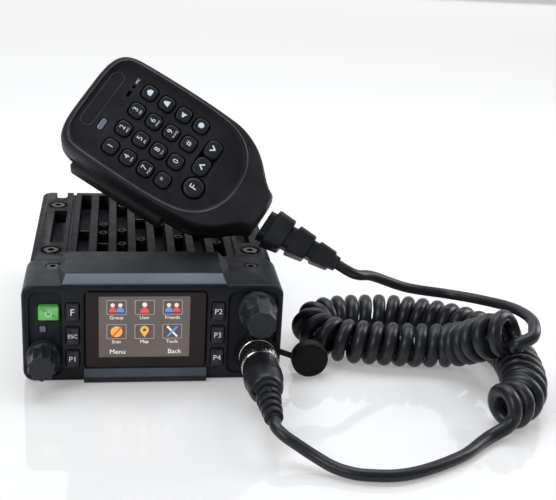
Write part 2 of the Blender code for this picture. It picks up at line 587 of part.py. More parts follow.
def make_mic(mats, frame):
    case = layered("mic_front_case",
                   [(body_outline(), MIC_PARTING + 0.15), (body_outline(), -4.0),
                    (body_outline(1.0), -1.2), (body_outline(2.6), MIC_RIM)],
                   mats["mic"], on_floor, frame)
    smooth(case, 28.0)
    field = merged_prisms("field_cut", [(rim_outline(), 0.0, 5.0)], mats["mic"], on_floor, frame)
    boolean(case, field)
    bay = [(body_outline(3.4), -14.0, -4.6)]
    boolean(case, merged_prisms("front_bay_cut", bay, mats["mic"], on_floor, frame))
    cuts = [(rounded(MIC_WELL, MIC_WELL, 3.0, 2, centre), -3.2, 4.0)
            for name, centre in mic_key_places()]
    cuts += [(rounded(8.4, 10.0, 3.4, 2, centre), -3.2, 4.0) for name, centre in ARROW_KEYS]
    cuts += [(circle(5.6, 24, ROUND_KEY), -3.2, 4.0),
             (rounded(6.8, 3.4, 1.6, 2, MIC_LED), -2.6, 4.0)]
    boolean(case, merged_prisms("well_cut", cuts, mats["mic"], on_floor, frame))

    back = layered("mic_rear_case",
                   [(body_outline(9.0), MIC_BACK), (body_outline(4.0), MIC_BACK + 1.6),
                    (body_outline(1.2), MIC_BACK + 7.0), (body_outline(), MIC_PARTING - 4.0),
                    (body_outline(), MIC_PARTING - 0.15)],
                   mats["mic"], on_floor, frame)
    smooth(back, 28.0)
    hollow = merged_prisms("rear_bay_cut", [(body_outline(6.5), MIC_BACK + 2.6, -8.0)],
                           mats["mic"], on_floor, frame)
    boolean(back, hollow)
    slot = rounded(53.0, 12.4, 1.0, 1, (-2.5, -31.0))
    boolean(back, merged_prisms("ptt_cut", [(slot, -25.2, -12.0)], mats["mic"], on_floor, frame))

    bar = layered("ptt_bar",
                  [(rounded(50.0, 3.4, 1.2, 2, (-2.5, -28.8)), -24.2),
                   (rounded(51.0, 4.4, 1.6, 2, (-2.5, -29.3)), -21.5),
                   (rounded(51.0, 4.4, 1.6, 2, (-2.5, -29.3)), -15.5),
                   (rounded(50.0, 3.4, 1.2, 2, (-2.5, -28.8)), -12.8)],
                  mats["key"], on_floor, frame, PTT_PIVOT)
    smooth(bar, 50.0)

    block("mic_board", (-33.0, -19.0, -9.4), (36.0, 19.0, -8.0), mats["board"], frame)
    turned("mic_capsule", [(4.8, -7.7), (4.8, -5.0)], (-23.0, 13.6), mats["speaker"], on_floor,
           20, frame)
    lens = rounded(6.2, 2.8, 1.3, 3, MIC_LED)
    prism("mic_led_lens", lens, -2.2, 0.3, mats["led"], on_floor, frame)

    for name, centre in mic_key_places():
        outer = rounded(MIC_KEY, MIC_KEY, 2.4, 3, centre)
        cap = rounded(MIC_KEY - 1.4, MIC_KEY - 1.4, 2.0, 3, centre)
        layered("mic_" + name, [(outer, -2.1), (outer, 0.5), (cap, 1.1)], mats["key"],
                on_floor, frame, (centre[0], centre[1], 0.0))
    for name, centre in ARROW_KEYS:
        outer = rounded(7.4, 9.0, 3.0, 3, centre)
        cap = rounded(6.0, 7.6, 2.4, 3, centre)
        layered("mic_" + name, [(outer, -2.1), (outer, 0.5), (cap, 1.1)], mats["key"],
                on_floor, frame, (centre[0], centre[1], 0.0))
    turned("mic_key_f", [(4.8, -2.1), (4.8, 0.6), (4.0, 1.3)], ROUND_KEY, mats["key"], on_floor,
           24, frame, (ROUND_KEY[0], ROUND_KEY[1], 0.0))

    make_mic_relief(mats, frame)


def make_mic_relief(mats, frame):
    """Four shrinking blocks on a thin neck, from the body's narrow end to the cord."""
    start, end = Vector(RELIEF_START), Vector(RELIEF_END)
    blocks, layers = 4, []
    for i in range(blocks):
        wide = 9.2 - 1.5 * i
        deep = 7.4 - 1.1 * i
        low, high = i / blocks, (i + 0.66) / blocks
        neck_wide, neck_deep = wide * 0.52, deep * 0.6
        layers += [(low, wide, deep), (high, wide - 0.5, deep - 0.4),
                   (high + 0.01, neck_wide, neck_deep)]
        last = (i + 1) / blocks
        if i < blocks - 1:
            layers.append((last - 0.01, neck_wide, neck_deep))
        else:
            layers.append((last, 3.4, 3.4))
    bm = bmesh.new()
    rings = []
    for share, wide, deep in layers:
        middle = start.lerp(end, share)
        ring = rounded(2 * wide, 2 * deep, min(wide, deep) * 0.5, 2, (0.0, 0.0))
        rings.append([(middle.x, middle.y + a, CORD_PLANE + b) for a, b in ring])
    add_loft(bm, rings)
    origin = (start.x, start.y, CORD_PLANE)
    return smooth(from_bmesh("mic_strain_relief", bm, mats["rubber"], frame, origin), 40.0)


def mic_matrix():
    along = Vector((cos(MIC_TURN), -sin(MIC_TURN) * sin(MIC_TILT), -sin(MIC_TURN) * cos(MIC_TILT)))
    out = Vector((0.0, -cos(MIC_TILT), sin(MIC_TILT)))
    across = out.cross(along)
    turn = Matrix((along, across, out)).transposed().to_4x4()
    return Matrix.Translation(Vector(MIC_ORIGIN) * MM) @ turn


def make_mic_frame():
    frame = bpy.data.objects.new("mic_frame", None)
    bpy.context.collection.objects.link(frame)
    frame.matrix_world = mic_matrix()
    return frame


# --------------------------------------------------------------------- cord

def make_cord(mats):
    pose = mic_matrix()
    exit_local = Vector((RELIEF_END[0] + GAP, RELIEF_END[1], CORD_PLANE)) * MM
    lead_local = exit_local + Vector((9.0, 0.6, 0.0)) * MM
    upper = [pose @ exit_local / MM, pose @ lead_local / MM]
    upper += [Vector(point) for point in UPPER_ROUTE]
    tube("cord_upper", smooth_route(upper, 6.5), CORD_RADIUS, 2, mats["rubber"])
    tube("cord_curl", smooth_route(CURL_ROUTE, 8.0), CURL_RADIUS, 3, mats["rubber"])
    tube("cord_lower", smooth_route(LOWER_ROUTE, 6.5), CORD_RADIUS, 2, mats["rubber"])


def main():
    clear_scene()
    mats = make_materials()
    make_radio(mats)
    frame = make_mic_frame()
    make_mic(mats, frame)
    make_cord(mats)


main()
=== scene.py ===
"""Looks of the mobile transceiver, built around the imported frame. Lengths in millimetres
are turned into metres when a mesh is made."""
from math import cos, sin, pi, radians

import bpy
import bmesh
from mathutils import Matrix, Vector


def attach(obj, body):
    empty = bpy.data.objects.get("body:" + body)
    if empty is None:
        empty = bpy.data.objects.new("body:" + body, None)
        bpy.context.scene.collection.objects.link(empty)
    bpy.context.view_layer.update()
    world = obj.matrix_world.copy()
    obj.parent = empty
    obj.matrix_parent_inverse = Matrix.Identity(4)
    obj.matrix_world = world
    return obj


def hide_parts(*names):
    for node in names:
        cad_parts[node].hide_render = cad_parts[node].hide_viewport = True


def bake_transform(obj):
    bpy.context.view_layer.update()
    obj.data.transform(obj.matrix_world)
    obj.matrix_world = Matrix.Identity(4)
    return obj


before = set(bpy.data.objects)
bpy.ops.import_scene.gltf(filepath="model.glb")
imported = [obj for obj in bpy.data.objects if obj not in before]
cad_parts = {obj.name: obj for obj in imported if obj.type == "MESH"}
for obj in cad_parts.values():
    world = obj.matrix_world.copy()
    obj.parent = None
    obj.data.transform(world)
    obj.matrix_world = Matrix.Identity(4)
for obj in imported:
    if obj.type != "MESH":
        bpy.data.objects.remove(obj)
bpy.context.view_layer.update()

MM = 0.001

# radio, as in the CAD model
HALF_WIDTH = 58.0
FACE_Y = -60.0
HOUSING_BACK_Y = -28.0
HOUSING_BOTTOM, HOUSING_TOP, BLOCK_TOP = 0.4, 47.0, 51.2
SINK_HALF_WIDTH = 56.5
SINK_FRONT_Y, SINK_BACK_Y = -27.7, 75.0
SINK_BOTTOM, SINK_TOP = 2.6, 46.0
WINDOW, WINDOW_SIZE = (-3.6, 25.5), (53.8, 37.0)
LCD, LCD_SIZE = (-4.3, 27.1), (41.0, 30.0)
KEY_SIZE = (5.8, 8.4)
LEFT_KEY_X, RIGHT_KEY_X = -36.0, 28.6
KEY_ROWS = (34.7, 23.1, 11.8)
POWER_BUTTON, POWER_SIZE = (-46.3, 34.3), (9.1, 6.8)
STATUS_LED = (-49.0, 26.0)
VOLUME_KNOB, CHANNEL_KNOB = (-48.8, 14.3), (45.8, 36.8)
SOCKET = (47.2, 12.5)
HOLE_SPAN = (FACE_Y - 4.0, FACE_Y + 5.0)
KEY_TOP_Y, KEY_BACK_Y = FACE_Y - 1.2, FACE_Y + 4.9
WING_SCREW = (45.5, -36.0)
FLANGE_SCREWS = ((47.6, -13.0), (47.6, 53.5))

# microphone
MIC_ORIGIN = (1.5, -8.0, 101.0)
MIC_TILT, MIC_TURN = radians(36.0), radians(34.0)
MIC_PARTING, MIC_BACK, MIC_RIM = -11.0, -29.0, 1.3
KEY_PITCH = (9.65, 10.9)
MIC_KEY, MIC_WELL = 7.0, 8.2
RELIEF_START, RELIEF_END = (64.3, -4.0), (104.0, -0.5)
CORD_PLANE = -13.0
ARROW_KEYS = (("key_up", (25.6, -0.6)), ("key_down", (25.6, 9.6)))
ROUND_KEY = (28.2, -11.4)
MIC_LED = (-24.0, -9.3)

# cord: the curl and the lower stretch follow the CAD model's routes
CORD_RADIUS = 2.5
COIL_CORD_RADIUS = 3.1
CURL_OUTER = 10.7
CURL_PITCH = 7.2
PLUG_END_Y = -120.0
CURL_ROUTE = (
    (161.0, -80.5, 33.0), (156.0, -77.5, 30.5), (151.0, -70.5, 25.0), (147.0, -60.5, 17.8),
    (141.0, -52.5, 12.6), (130.0, -49.0, 10.9), (118.0, -47.6, 10.8), (104.0, -45.2, 10.8),
    (93.0, -42.8, 10.8), (84.5, -38.2, 10.8), (79.4, -30.2, 10.8), (80.0, -22.4, 10.8),
    (85.6, -17.0, 10.8), (95.0, -14.2, 10.8), (107.0, -13.2, 10.8), (121.0, -13.6, 10.8),
    (138.0, -18.6, 10.8), (151.5, -26.0, 10.8), (161.5, -35.5, 10.8), (167.0, -46.5, 10.8),
    (169.2, -58.0, 10.8), (168.4, -73.0, 10.8), (165.5, -87.2, 10.8), (161.5, -97.5, 10.8),
    (155.4, -106.0, 10.8), (147.0, -111.0, 10.8))
UPPER_ROUTE = (
    (106.0, -28.5, 38.5), (124.5, -25.0, 31.0), (143.5, -25.5, 28.0), (154.0, -33.0, 29.0),
    (161.8, -41.8, 30.5), (167.4, -51.0, 32.2), (170.6, -61.5, 33.8), (171.6, -71.5, 34.6),
    (170.4, -79.0, 34.2), (167.6, -84.6, 31.8))
LOWER_ROUTE = (
    (47.2, -120.8, 12.5), (47.3, -125.2, 12.2), (50.4, -129.4, 10.6), (55.2, -132.2, 8.2),
    (61.0, -135.9, 5.6), (68.3, -141.4, 3.4), (76.2, -145.6, 2.7), (84.2, -147.4, 2.7),
    (92.5, -147.8, 2.7), (101.4, -145.9, 2.7), (111.1, -141.8, 2.7), (121.4, -136.1, 2.7),
    (127.5, -131.7, 2.7), (133.7, -125.9, 2.7), (139.1, -121.4, 2.9), (143.9, -119.2, 4.2),
    (147.6, -118.6, 6.2))


# ------------------------------------------------------------------ materials

class Shader:
    """A small wrapper for building one procedural material."""

    def __init__(self, name):
        self.mat = bpy.data.materials.new(name)
        self.mat.use_nodes = True
        self.tree = self.mat.node_tree
        self.bsdf = self.tree.nodes["Principled BSDF"]
        self.coords = self.tree.nodes.new("ShaderNodeTexCoord").outputs["Object"]

    def set(self, **values):
        for key, value in values.items():
            self.bsdf.inputs[key.replace("_", " ")].default_value = value
        return self

    def link(self, source, target):
        self.tree.links.new(source, target)

    def noise(self, scale, detail=4.0, roughness=0.55):
        node = self.tree.nodes.new("ShaderNodeTexNoise")
        node.inputs["Scale"].default_value = scale
        node.inputs["Detail"].default_value = detail
        node.inputs["Roughness"].default_value = roughness
        self.link(self.coords, node.inputs["Vector"])
        return node.outputs["Fac"]

    def ramp(self, value, stops):
        node = self.tree.nodes.new("ShaderNodeValToRGB")
        items = node.color_ramp.elements
        while len(items) < len(stops):
            items.new(0.5)
        for item, (position, colour) in zip(items, stops):
            item.position = position
            item.color = (*colour, 1.0)
        self.link(value, node.inputs["Fac"])
        return node.outputs["Color"]

    def mix(self, factor, first, second):
        node = self.tree.nodes.new("ShaderNodeMix")
        node.data_type = "RGBA"
        self.link(factor, node.inputs["Factor"])
        self.link(first, node.inputs["A"])
        if isinstance(second, tuple):
            node.inputs["B"].default_value = (*second, 1.0)
        else:
            self.link(second, node.inputs["B"])
        return node.outputs["Result"]

    def spread(self, value, low, high):
        node = self.tree.nodes.new("ShaderNodeMapRange")
        node.inputs["From Min"].default_value = 0.3
        node.inputs["From Max"].default_value = 0.7
        node.inputs["To Min"].default_value = low
        node.inputs["To Max"].default_value = high
        self.link(value, node.inputs["Value"])
        return node.outputs["Result"]

    def worn_edges(self, low, high):
        """1 on outer edges, 0 elsewhere."""
        geometry = self.tree.nodes.new("ShaderNodeNewGeometry")
        node = self.tree.nodes.new("ShaderNodeMapRange")
        node.inputs["From Min"].default_value = low
        node.inputs["From Max"].default_value = high
        self.link(geometry.outputs["Pointiness"], node.inputs["Value"])
        return node.outputs["Result"]

    def colour(self, output):
        self.link(output, self.bsdf.inputs["Base Color"])

    def rough(self, output):
        self.link(output, self.bsdf.inputs["Roughness"])

    def bump(self, value, strength, distance):
        node = self.tree.nodes.new("ShaderNodeBump")
        node.inputs["Strength"].default_value = strength
        node.inputs["Distance"].default_value = distance
        self.link(value, node.inputs["Height"])
        self.link(node.outputs["Normal"], self.bsdf.inputs["Normal"])


def moulded(name, dark, light, rough, grain, strength, edge=None, coat=0.0, shine=0.22):
    """Moulded plastic or rubber: tinted variation, fine grain and slightly worn edges."""
    s = Shader(name)
    base = s.ramp(s.noise(60.0, 3.0), ((0.35, dark), (0.68, light)))
    if edge is not None:
        base = s.mix(s.worn_edges(0.52, 0.62), base, edge)
    s.colour(base)
    s.rough(s.spread(s.noise(180.0, 5.0), rough[0], rough[1]))
    s.bump(s.noise(grain, 2.0, 0.6), strength, 0.0001)
    s.set(Coat_Weight=coat, Coat_Roughness=0.25, Specular_IOR_Level=shine)
    return s.mat


def metal(name, dark, light, rough, grain=2500.0, strength=0.15):
    s = Shader(name)
    s.colour(s.ramp(s.noise(220.0, 4.0), ((0.3, dark), (0.7, light))))
    s.rough(s.spread(s.noise(700.0, 4.0), rough[0], rough[1]))
    s.bump(s.noise(grain, 2.0), strength, 0.00005)
    s.set(Metallic=1.0)
    return s.mat


def flat_glow(name, colour, strength, grain=900.0):
    """Printed or lit marks: a faint grain in colour and glow."""
    s = Shader(name)
    low = tuple(c * 0.86 for c in colour)
    tint = s.ramp(s.noise(grain, 2.0), ((0.3, low), (0.7, colour)))
    s.colour(tint)
    s.rough(s.spread(s.noise(400.0), 0.35, 0.5))
    if strength > 0.0:
        s.link(tint, s.bsdf.inputs["Emission Color"])
        s.set(Emission_Strength=strength)
    return s.mat


def window_material():
    s = Shader("window_gloss")
    s.colour(s.ramp(s.noise(90.0, 3.0), ((0.3, (0.012, 0.007, 0.007)), (0.7, (0.02, 0.011, 0.010)))))
    s.rough(s.spread(s.noise(120.0, 6.0), 0.06, 0.16))
    s.set(Specular_IOR_Level=0.24)
    return s.mat


def screen_material():
    """Backlit panel: grey-brown with a faint unevenness."""
    s = Shader("screen_backlight")
    tint = s.ramp(s.noise(30.0, 2.0), ((0.3, (0.115, 0.098, 0.090)), (0.7, (0.135, 0.116, 0.106))))
    s.colour(tint)
    s.link(tint, s.bsdf.inputs["Emission Color"])
    s.rough(s.spread(s.noise(300.0), 0.2, 0.3))
    s.set(Emission_Strength=0.42, Specular_IOR_Level=0.24)
    return s.mat


def make_materials():
    return {
        "housing": moulded("housing_plastic", (0.008, 0.009, 0.012), (0.015, 0.017, 0.022),
                           (0.34, 0.5), 2600.0, 0.35, (0.06, 0.065, 0.075), 0.0, 0.14),
        # painted highlight: a lighter, bluish copy of the housing plastic for the front chamfer,
        # standing in for the lamps' light on it
        "chamfer_highlight": moulded("chamfer_painted_highlight", (0.080, 0.095, 0.110), (0.110, 0.128, 0.148),
                        (0.34, 0.5), 2600.0, 0.3, (0.17, 0.19, 0.21)),
        "casting": moulded("cast_paint", (0.006, 0.0065, 0.0075), (0.013, 0.014, 0.016),
                           (0.42, 0.62), 1700.0, 0.6, (0.05, 0.052, 0.055), 0.0, 0.06),
        "knob": moulded("knob_plastic", (0.012, 0.013, 0.016), (0.022, 0.024, 0.029),
                        (0.28, 0.4), 3200.0, 0.2, (0.05, 0.053, 0.06)),
        "key": moulded("key_rubber", (0.009, 0.009, 0.010), (0.016, 0.016, 0.018),
                       (0.34, 0.48), 3500.0, 0.2, (0.035, 0.035, 0.04)),
        "green": moulded("power_green", (0.06, 0.38, 0.035), (0.10, 0.50, 0.06),
                         (0.25, 0.4), 2500.0, 0.15, (0.2, 0.65, 0.2)),
        "cord": moulded("cord_rubber", (0.008, 0.009, 0.012), (0.014, 0.016, 0.021),
                        (0.32, 0.44), 1900.0, 0.25, None, 0.0, 0.36),
        "rubber": moulded("soft_rubber", (0.005, 0.005, 0.006), (0.010, 0.010, 0.012),
                          (0.45, 0.6), 1900.0, 0.25, None, 0.0, 0.1),
        "mic": moulded("mic_plastic", (0.008, 0.008, 0.010), (0.015, 0.015, 0.018),
                       (0.38, 0.54), 2400.0, 0.45, (0.045, 0.046, 0.05), 0.0, 0.16),
        "field": moulded("mic_field_plastic", (0.008, 0.008, 0.010), (0.015, 0.015, 0.018),
                         (0.34, 0.46), 2800.0, 0.3, None, 0.0, 0.35),
        "bead": moulded("mic_bead", (0.05, 0.052, 0.056), (0.10, 0.104, 0.11),
                        (0.16, 0.28), 1800.0, 0.1),
        "lens": moulded("led_lens", (0.10, 0.11, 0.14), (0.17, 0.19, 0.24), (0.1, 0.2),
                        900.0, 0.1, None, 0.5),
        "dark": moulded("deep_black", (0.004, 0.004, 0.004), (0.008, 0.008, 0.008),
                        (0.6, 0.8), 1500.0, 0.2),
        # painted highlight: a lighter, bluish copy of the housing plastic for the chin's slanted top,
        # standing in for the lamps' light on it
        "chin": moulded("chin_painted_highlight", (0.055, 0.070, 0.092), (0.080, 0.097, 0.125),
                        (0.26, 0.4), 2600.0, 0.25, (0.12, 0.14, 0.17)),
        "nickel": metal("nickel_plate", (0.52, 0.48, 0.40), (0.80, 0.77, 0.70), (0.12, 0.3)),
        "screw": metal("black_steel", (0.03, 0.031, 0.034), (0.075, 0.077, 0.082), (0.25, 0.45)),
        "brass": metal("contact_brass", (0.42, 0.33, 0.16), (0.62, 0.5, 0.26), (0.25, 0.4)),
        "window": window_material(),
        "screen": screen_material(),
        "white": flat_glow("legend_white", (0.82, 0.84, 0.86), 0.12),
        "blue_white": flat_glow("mic_legend", (0.62, 0.72, 0.82), 0.10),
        "icon_frame": flat_glow("icon_frame", (0.30, 0.27, 0.25), 0.6),
        "icon_back": flat_glow("icon_back", (0.10, 0.07, 0.07), 0.5),
        "icon_red": flat_glow("icon_red", (0.62, 0.06, 0.05), 0.8),
        "icon_blue": flat_glow("icon_blue", (0.07, 0.24, 0.62), 0.8),
        "icon_orange": flat_glow("icon_orange", (0.80, 0.36, 0.05), 0.8),
        "icon_skin": flat_glow("icon_pale", (0.75, 0.62, 0.52), 0.7),
        "screen_text": flat_glow("screen_text", (0.78, 0.74, 0.70), 0.7),
    }


# ----------------------------------------------------------------- mesh tools

def object_from(name, bm, mat, matrix=None):
    bmesh.ops.scale(bm, verts=bm.verts, vec=(MM, MM, MM))
    bmesh.ops.recalc_face_normals(bm, faces=bm.faces)
    mesh = bpy.data.meshes.new(name)
    bm.to_mesh(mesh)
    bm.free()
    obj = bpy.data.objects.new(name, mesh)
    bpy.context.scene.collection.objects.link(obj)
    obj.data.materials.append(mat)
    if matrix is not None:
        obj.data.transform(matrix)
    return obj


def settle(obj, width=0.0, angle=32.0, cutters=(), joins=(), segments=2):
    """Apply cuts, joins and an edge bevel, then shade the result smooth."""
    for items, operation in ((joins, "UNION"), (cutters, "DIFFERENCE")):
        for item in items:
            tool = obj.modifiers.new("cut", "BOOLEAN")
            tool.operation = operation
            tool.object = item
    if width > 0.0:
        tool = obj.modifiers.new("edges", "BEVEL")
        tool.width = width * MM
        tool.segments = segments
        tool.limit_method = "ANGLE"
        tool.angle_limit = radians(angle)
        tool.use_clamp_overlap = False
        tool.miter_outer = "MITER_ARC"
    graph = bpy.context.evaluated_depsgraph_get()
    mesh = bpy.data.meshes.new_from_object(obj.evaluated_get(graph))
    obj.modifiers.clear()
    obj.data = mesh
    for item in list(joins) + list(cutters):
        bpy.data.objects.remove(item)
    obj.data.shade_smooth()
    obj.data.set_sharp_from_angle(angle=radians(42.0))
    weights = obj.modifiers.new("normals", "WEIGHTED_NORMAL")
    weights.keep_sharp = True
    return obj


def on_face(point, depth):
    return Vector((point[0], depth, point[1]))


def on_floor(point, depth):
    return Vector((point[0], point[1], depth))


def rounded(width, height, radius, steps=6, centre=(0.0, 0.0)):
    points = []
    for quarter, (sx, sy) in enumerate(((1, 1), (-1, 1), (-1, -1), (1, -1))):
        for step in range(steps + 1):
            angle = (quarter + step / steps) * pi / 2
            points.append((centre[0] + sx * (width / 2 - radius) + radius * cos(angle),
                           centre[1] + sy * (height / 2 - radius) + radius * sin(angle)))
    return points


def circle(radius, count=48, centre=(0.0, 0.0)):
    return [(centre[0] + radius * cos(2 * pi * i / count),
             centre[1] + radius * sin(2 * pi * i / count)) for i in range(count)]


def add_loft(bm, rings, caps=True):
    rows = [[bm.verts.new(point) for point in ring] for ring in rings]
    count = len(rows[0])
    for low, high in zip(rows, rows[1:]):
        for i in range(count):
            j = (i + 1) % count
            bm.faces.new((low[i], low[j], high[j], high[i]))
    if caps:
        bm.faces.new(rows[0][::-1])
        bm.faces.new(rows[-1])


def layered(name, layers, mat, axis=on_face, matrix=None):
    bm = bmesh.new()
    add_loft(bm, [[axis(p, depth) for p in outline] for outline, depth in layers])
    return object_from(name, bm, mat, matrix)


def prisms(name, items, mat, axis=on_face, matrix=None):
    """Several prisms in one mesh: ITEMS holds (outline, start, end)."""
    bm = bmesh.new()
    for outline, start, end in items:
        add_loft(bm, [[axis(p, start) for p in outline], [axis(p, end) for p in outline]])
    return object_from(name, bm, mat, matrix)


def turned(name, profile, centre, mat, axis=on_face, count=56, matrix=None):
    return layered(name, [(circle(r, count, centre), d) for r, d in profile], mat, axis, matrix)


def boxy(centre, size, top, bottom, radius=1.0, round_edge=0.5, axis_sign=-1, steps=5):
    """Layers of a key cap: a prism with a rounded front edge, from TOP back to BOTTOM."""
    layers = []
    for k in range(4):
        angle = k / 3 * pi / 2
        inset = round_edge * (1 - sin(angle))
        depth = top - axis_sign * round_edge * (1 - cos(angle))
        layers.append((rounded(size[0] - 2 * inset, size[1] - 2 * inset,
                               max(0.2, radius - inset * 0.6), steps, centre), depth))
    layers.append((rounded(size[0], size[1], radius, steps, centre), bottom))
    return layers


def smooth_route(points, spacing, closed=False, count=None):
    pts = [Vector(p) for p in points]
    if closed:
        pts = [pts[-1]] + pts + [pts[0], pts[1]]
    else:
        pts = [2 * pts[0] - pts[1]] + pts + [2 * pts[-1] - pts[-2]]
    fine = []
    for a, b, c, d in zip(pts, pts[1:], pts[2:], pts[3:]):
        for k in range(16):
            t = k / 16
            fine.append(0.5 * (2 * b + (c - a) * t + (2 * a - 5 * b + 4 * c - d) * t * t
                               + (3 * b - a - 3 * c + d) * t ** 3))
    fine.append(pts[-2])
    lengths = [0.0]
    for a, b in zip(fine, fine[1:]):
        lengths.append(lengths[-1] + (b - a).length)
    if count is None:
        count = max(2, round(lengths[-1] / spacing))
    result, k = [], 0
    for i in range(count + 1):
        goal = lengths[-1] * i / count
        while k < len(fine) - 2 and lengths[k + 1] < goal:
            k += 1
        share = (goal - lengths[k]) / max(1e-9, lengths[k + 1] - lengths[k])
        result.append(fine[k].lerp(fine[k + 1], share))
    return result


def carried_frames(points):
    """Tangent and a sideways vector carried along POINTS without twist."""
    tangents = []
    for i in range(len(points)):
        tangents.append((points[min(i + 1, len(points) - 1)] - points[max(i - 1, 0)]).normalized())
    side = tangents[0].orthogonal().normalized()
    sides = []
    for tangent in tangents:
        side = (side - tangent * side.dot(tangent)).normalized()
        sides.append(side)
    return tangents, sides


def tube_mesh(name, points, radius, sides, mat, closed=False, matrix=None):
    tangents, across = carried_frames(points)
    rings = []
    for point, tangent, side in zip(points, tangents, across):
        other = tangent.cross(side)
        rings.append([point + radius * (cos(a) * side + sin(a) * other)
                      for a in (2 * pi * i / sides for i in range(sides))])
    if closed:
        rings.append(rings[0])
    bm = bmesh.new()
    add_loft(bm, rings, caps=not closed)
    if closed:
        bmesh.ops.remove_doubles(bm, verts=bm.verts, dist=1e-4)
    obj = object_from(name, bm, mat, matrix)
    obj.data.shade_smooth()
    return obj


def word(name, text, size, place, right, up, mat, thickness=0.05):
    """Lettering as a thin solid, centred on PLACE, with its own right and up directions."""
    curve = bpy.data.curves.new(name, "FONT")
    curve.body = text
    curve.size = size * MM
    curve.align_x = "CENTER"
    curve.align_y = "CENTER"
    curve.extrude = thickness * MM
    curve.resolution_u = 3
    letters = bpy.data.objects.new(name + "_source", curve)
    bpy.context.scene.collection.objects.link(letters)
    graph = bpy.context.evaluated_depsgraph_get()
    mesh = bpy.data.meshes.new_from_object(letters.evaluated_get(graph))
    bpy.data.objects.remove(letters)
    right, up = Vector(right).normalized(), Vector(up).normalized()
    turn = Matrix((right, up, right.cross(up))).transposed().to_4x4()
    mesh.transform(Matrix.Translation(Vector(place) * MM) @ turn)
    mesh.materials.clear()
    mesh.materials.append(mat)
    obj = bpy.data.objects.new(name, mesh)
    bpy.context.scene.collection.objects.link(obj)
    return obj


def mount(obj, body, slot, *nodes):
    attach(obj, body)
    if nodes:
        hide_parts(*nodes)
    return obj


# --------------------------------------------------------- camera and lights

def make_camera():
    data = bpy.data.cameras.new("camera")
    camera = bpy.data.objects.new("camera", data)
    bpy.context.scene.collection.objects.link(camera)
    data.sensor_width = 36.0
    data.lens = 70.28
    data.clip_start = 0.01
    yaw, pitch, roll = radians(9.0), radians(20.76), radians(3.331)
    forward = Vector((sin(yaw) * cos(pitch), cos(yaw) * cos(pitch), -sin(pitch)))
    right = Vector((cos(yaw), -sin(yaw), 0.0))
    up = right.cross(forward)
    turned_right = cos(roll) * right + sin(roll) * up
    turned_up = -sin(roll) * right + cos(roll) * up
    turn = Matrix((turned_right, turned_up, -forward)).transposed().to_4x4()
    camera.matrix_world = Matrix.Translation((-0.01633, -0.50442, 0.23462)) @ turn
    bpy.context.scene.camera = camera


def area_light(name, place, target, size, power, colour=(1.0, 1.0, 1.0)):
    data = bpy.data.lights.new(name, "AREA")
    data.shape = "RECTANGLE"
    data.size, data.size_y = size
    data.energy = power
    data.color = colour
    light = bpy.data.objects.new(name, data)
    bpy.context.scene.collection.objects.link(light)
    light.location = place
    aim = Vector(target) - Vector(place)
    light.rotation_euler = aim.to_track_quat("-Z", "Y").to_euler()


def make_studio():
    world = bpy.data.worlds.new("studio")
    world.use_nodes = True
    background = world.node_tree.nodes["Background"]
    background.inputs["Color"].default_value = (0.97, 0.98, 1.0, 1.0)
    background.inputs["Strength"].default_value = 0.22
    bpy.context.scene.world = world
    bpy.context.scene.view_settings.view_transform = "Standard"
    area_light("top_soft", (0.0, 0.2, 0.8), (0.04, 0.0, 0.03), (0.8, 0.5), 5.6, (0.93, 0.96, 1.0))
    area_light("key_left", (-0.6, -0.6, 0.6), (0.0, 0.0, 0.04), (0.4, 0.4), 4.2)
    area_light("right_rim", (0.7, 0.1, 0.35), (0.08, -0.03, 0.03), (0.2, 0.5), 3.0)
    area_light("back_card", (0.2, 1.7, 0.75), (0.1, 0.0, 0.2), (3.6, 1.4), 12.0)
    bm = bmesh.new()
    reach = 4000.0
    corners = ((-reach, -reach, 0.0), (reach, -reach, 0.0), (reach, reach, 0.0), (-reach, reach, 0.0))
    bm.faces.new([bm.verts.new(corner) for corner in corners])
    s = Shader("pale_floor")
    s.colour(s.ramp(s.noise(3.0), ((0.3, (0.55, 0.55, 0.55)), (0.7, (0.57, 0.57, 0.57)))))
    s.rough(s.spread(s.noise(8.0), 0.03, 0.05))
    s.set(Specular_IOR_Level=0.8, Emission_Color=(1.0, 1.0, 1.0, 1.0), Emission_Strength=0.27)
    floor = object_from("floor", bm, s.mat)


# ----------------------------------------------------------------------- cord

def mic_matrix():
    along = Vector((cos(MIC_TURN), -sin(MIC_TURN) * sin(MIC_TILT), -sin(MIC_TURN) * cos(MIC_TILT)))
    out = Vector((0.0, -cos(MIC_TILT), sin(MIC_TILT)))
    turn = Matrix((along, out.cross(along), out)).transposed().to_4x4()
    return Matrix.Translation(Vector(MIC_ORIGIN) * MM) @ turn


MIC_POSE = mic_matrix()


def mic_point(x, y, z):
    return MIC_POSE @ (Vector((x, y, z)) * MM) / MM


def curl_points(start_angle, end_angle, turn_points=16):
    """The left-handed helix around the curl's route, between two angles measured from the
    horizontal on the far side."""
    line = smooth_route(CURL_ROUTE, 1.0)
    length = sum((b - a).length for a, b in zip(line, line[1:]))
    turns = round(length / CURL_PITCH) + (end_angle - start_angle) / (2 * pi)
    total = round(turns * turn_points)
    mean = CURL_OUTER - COIL_CORD_RADIUS - 0.1
    points = []
    for i in range(total + 1):
        where = i / total * (len(line) - 1)
        k = min(int(where), len(line) - 2)
        share = where - k
        centre = line[k].lerp(line[k + 1], share)
        before, after = line[max(k - 2, 0)], line[min(k + 3, len(line) - 1)]
        tangent = (after - before).normalized()
        across = tangent.cross(Vector((0.0, 0.0, 1.0))).normalized()
        upward = across.cross(tangent)
        angle = start_angle + 2 * pi * turns * i / total
        points.append(centre + mean * (cos(angle) * across + sin(angle) * upward))
    return points


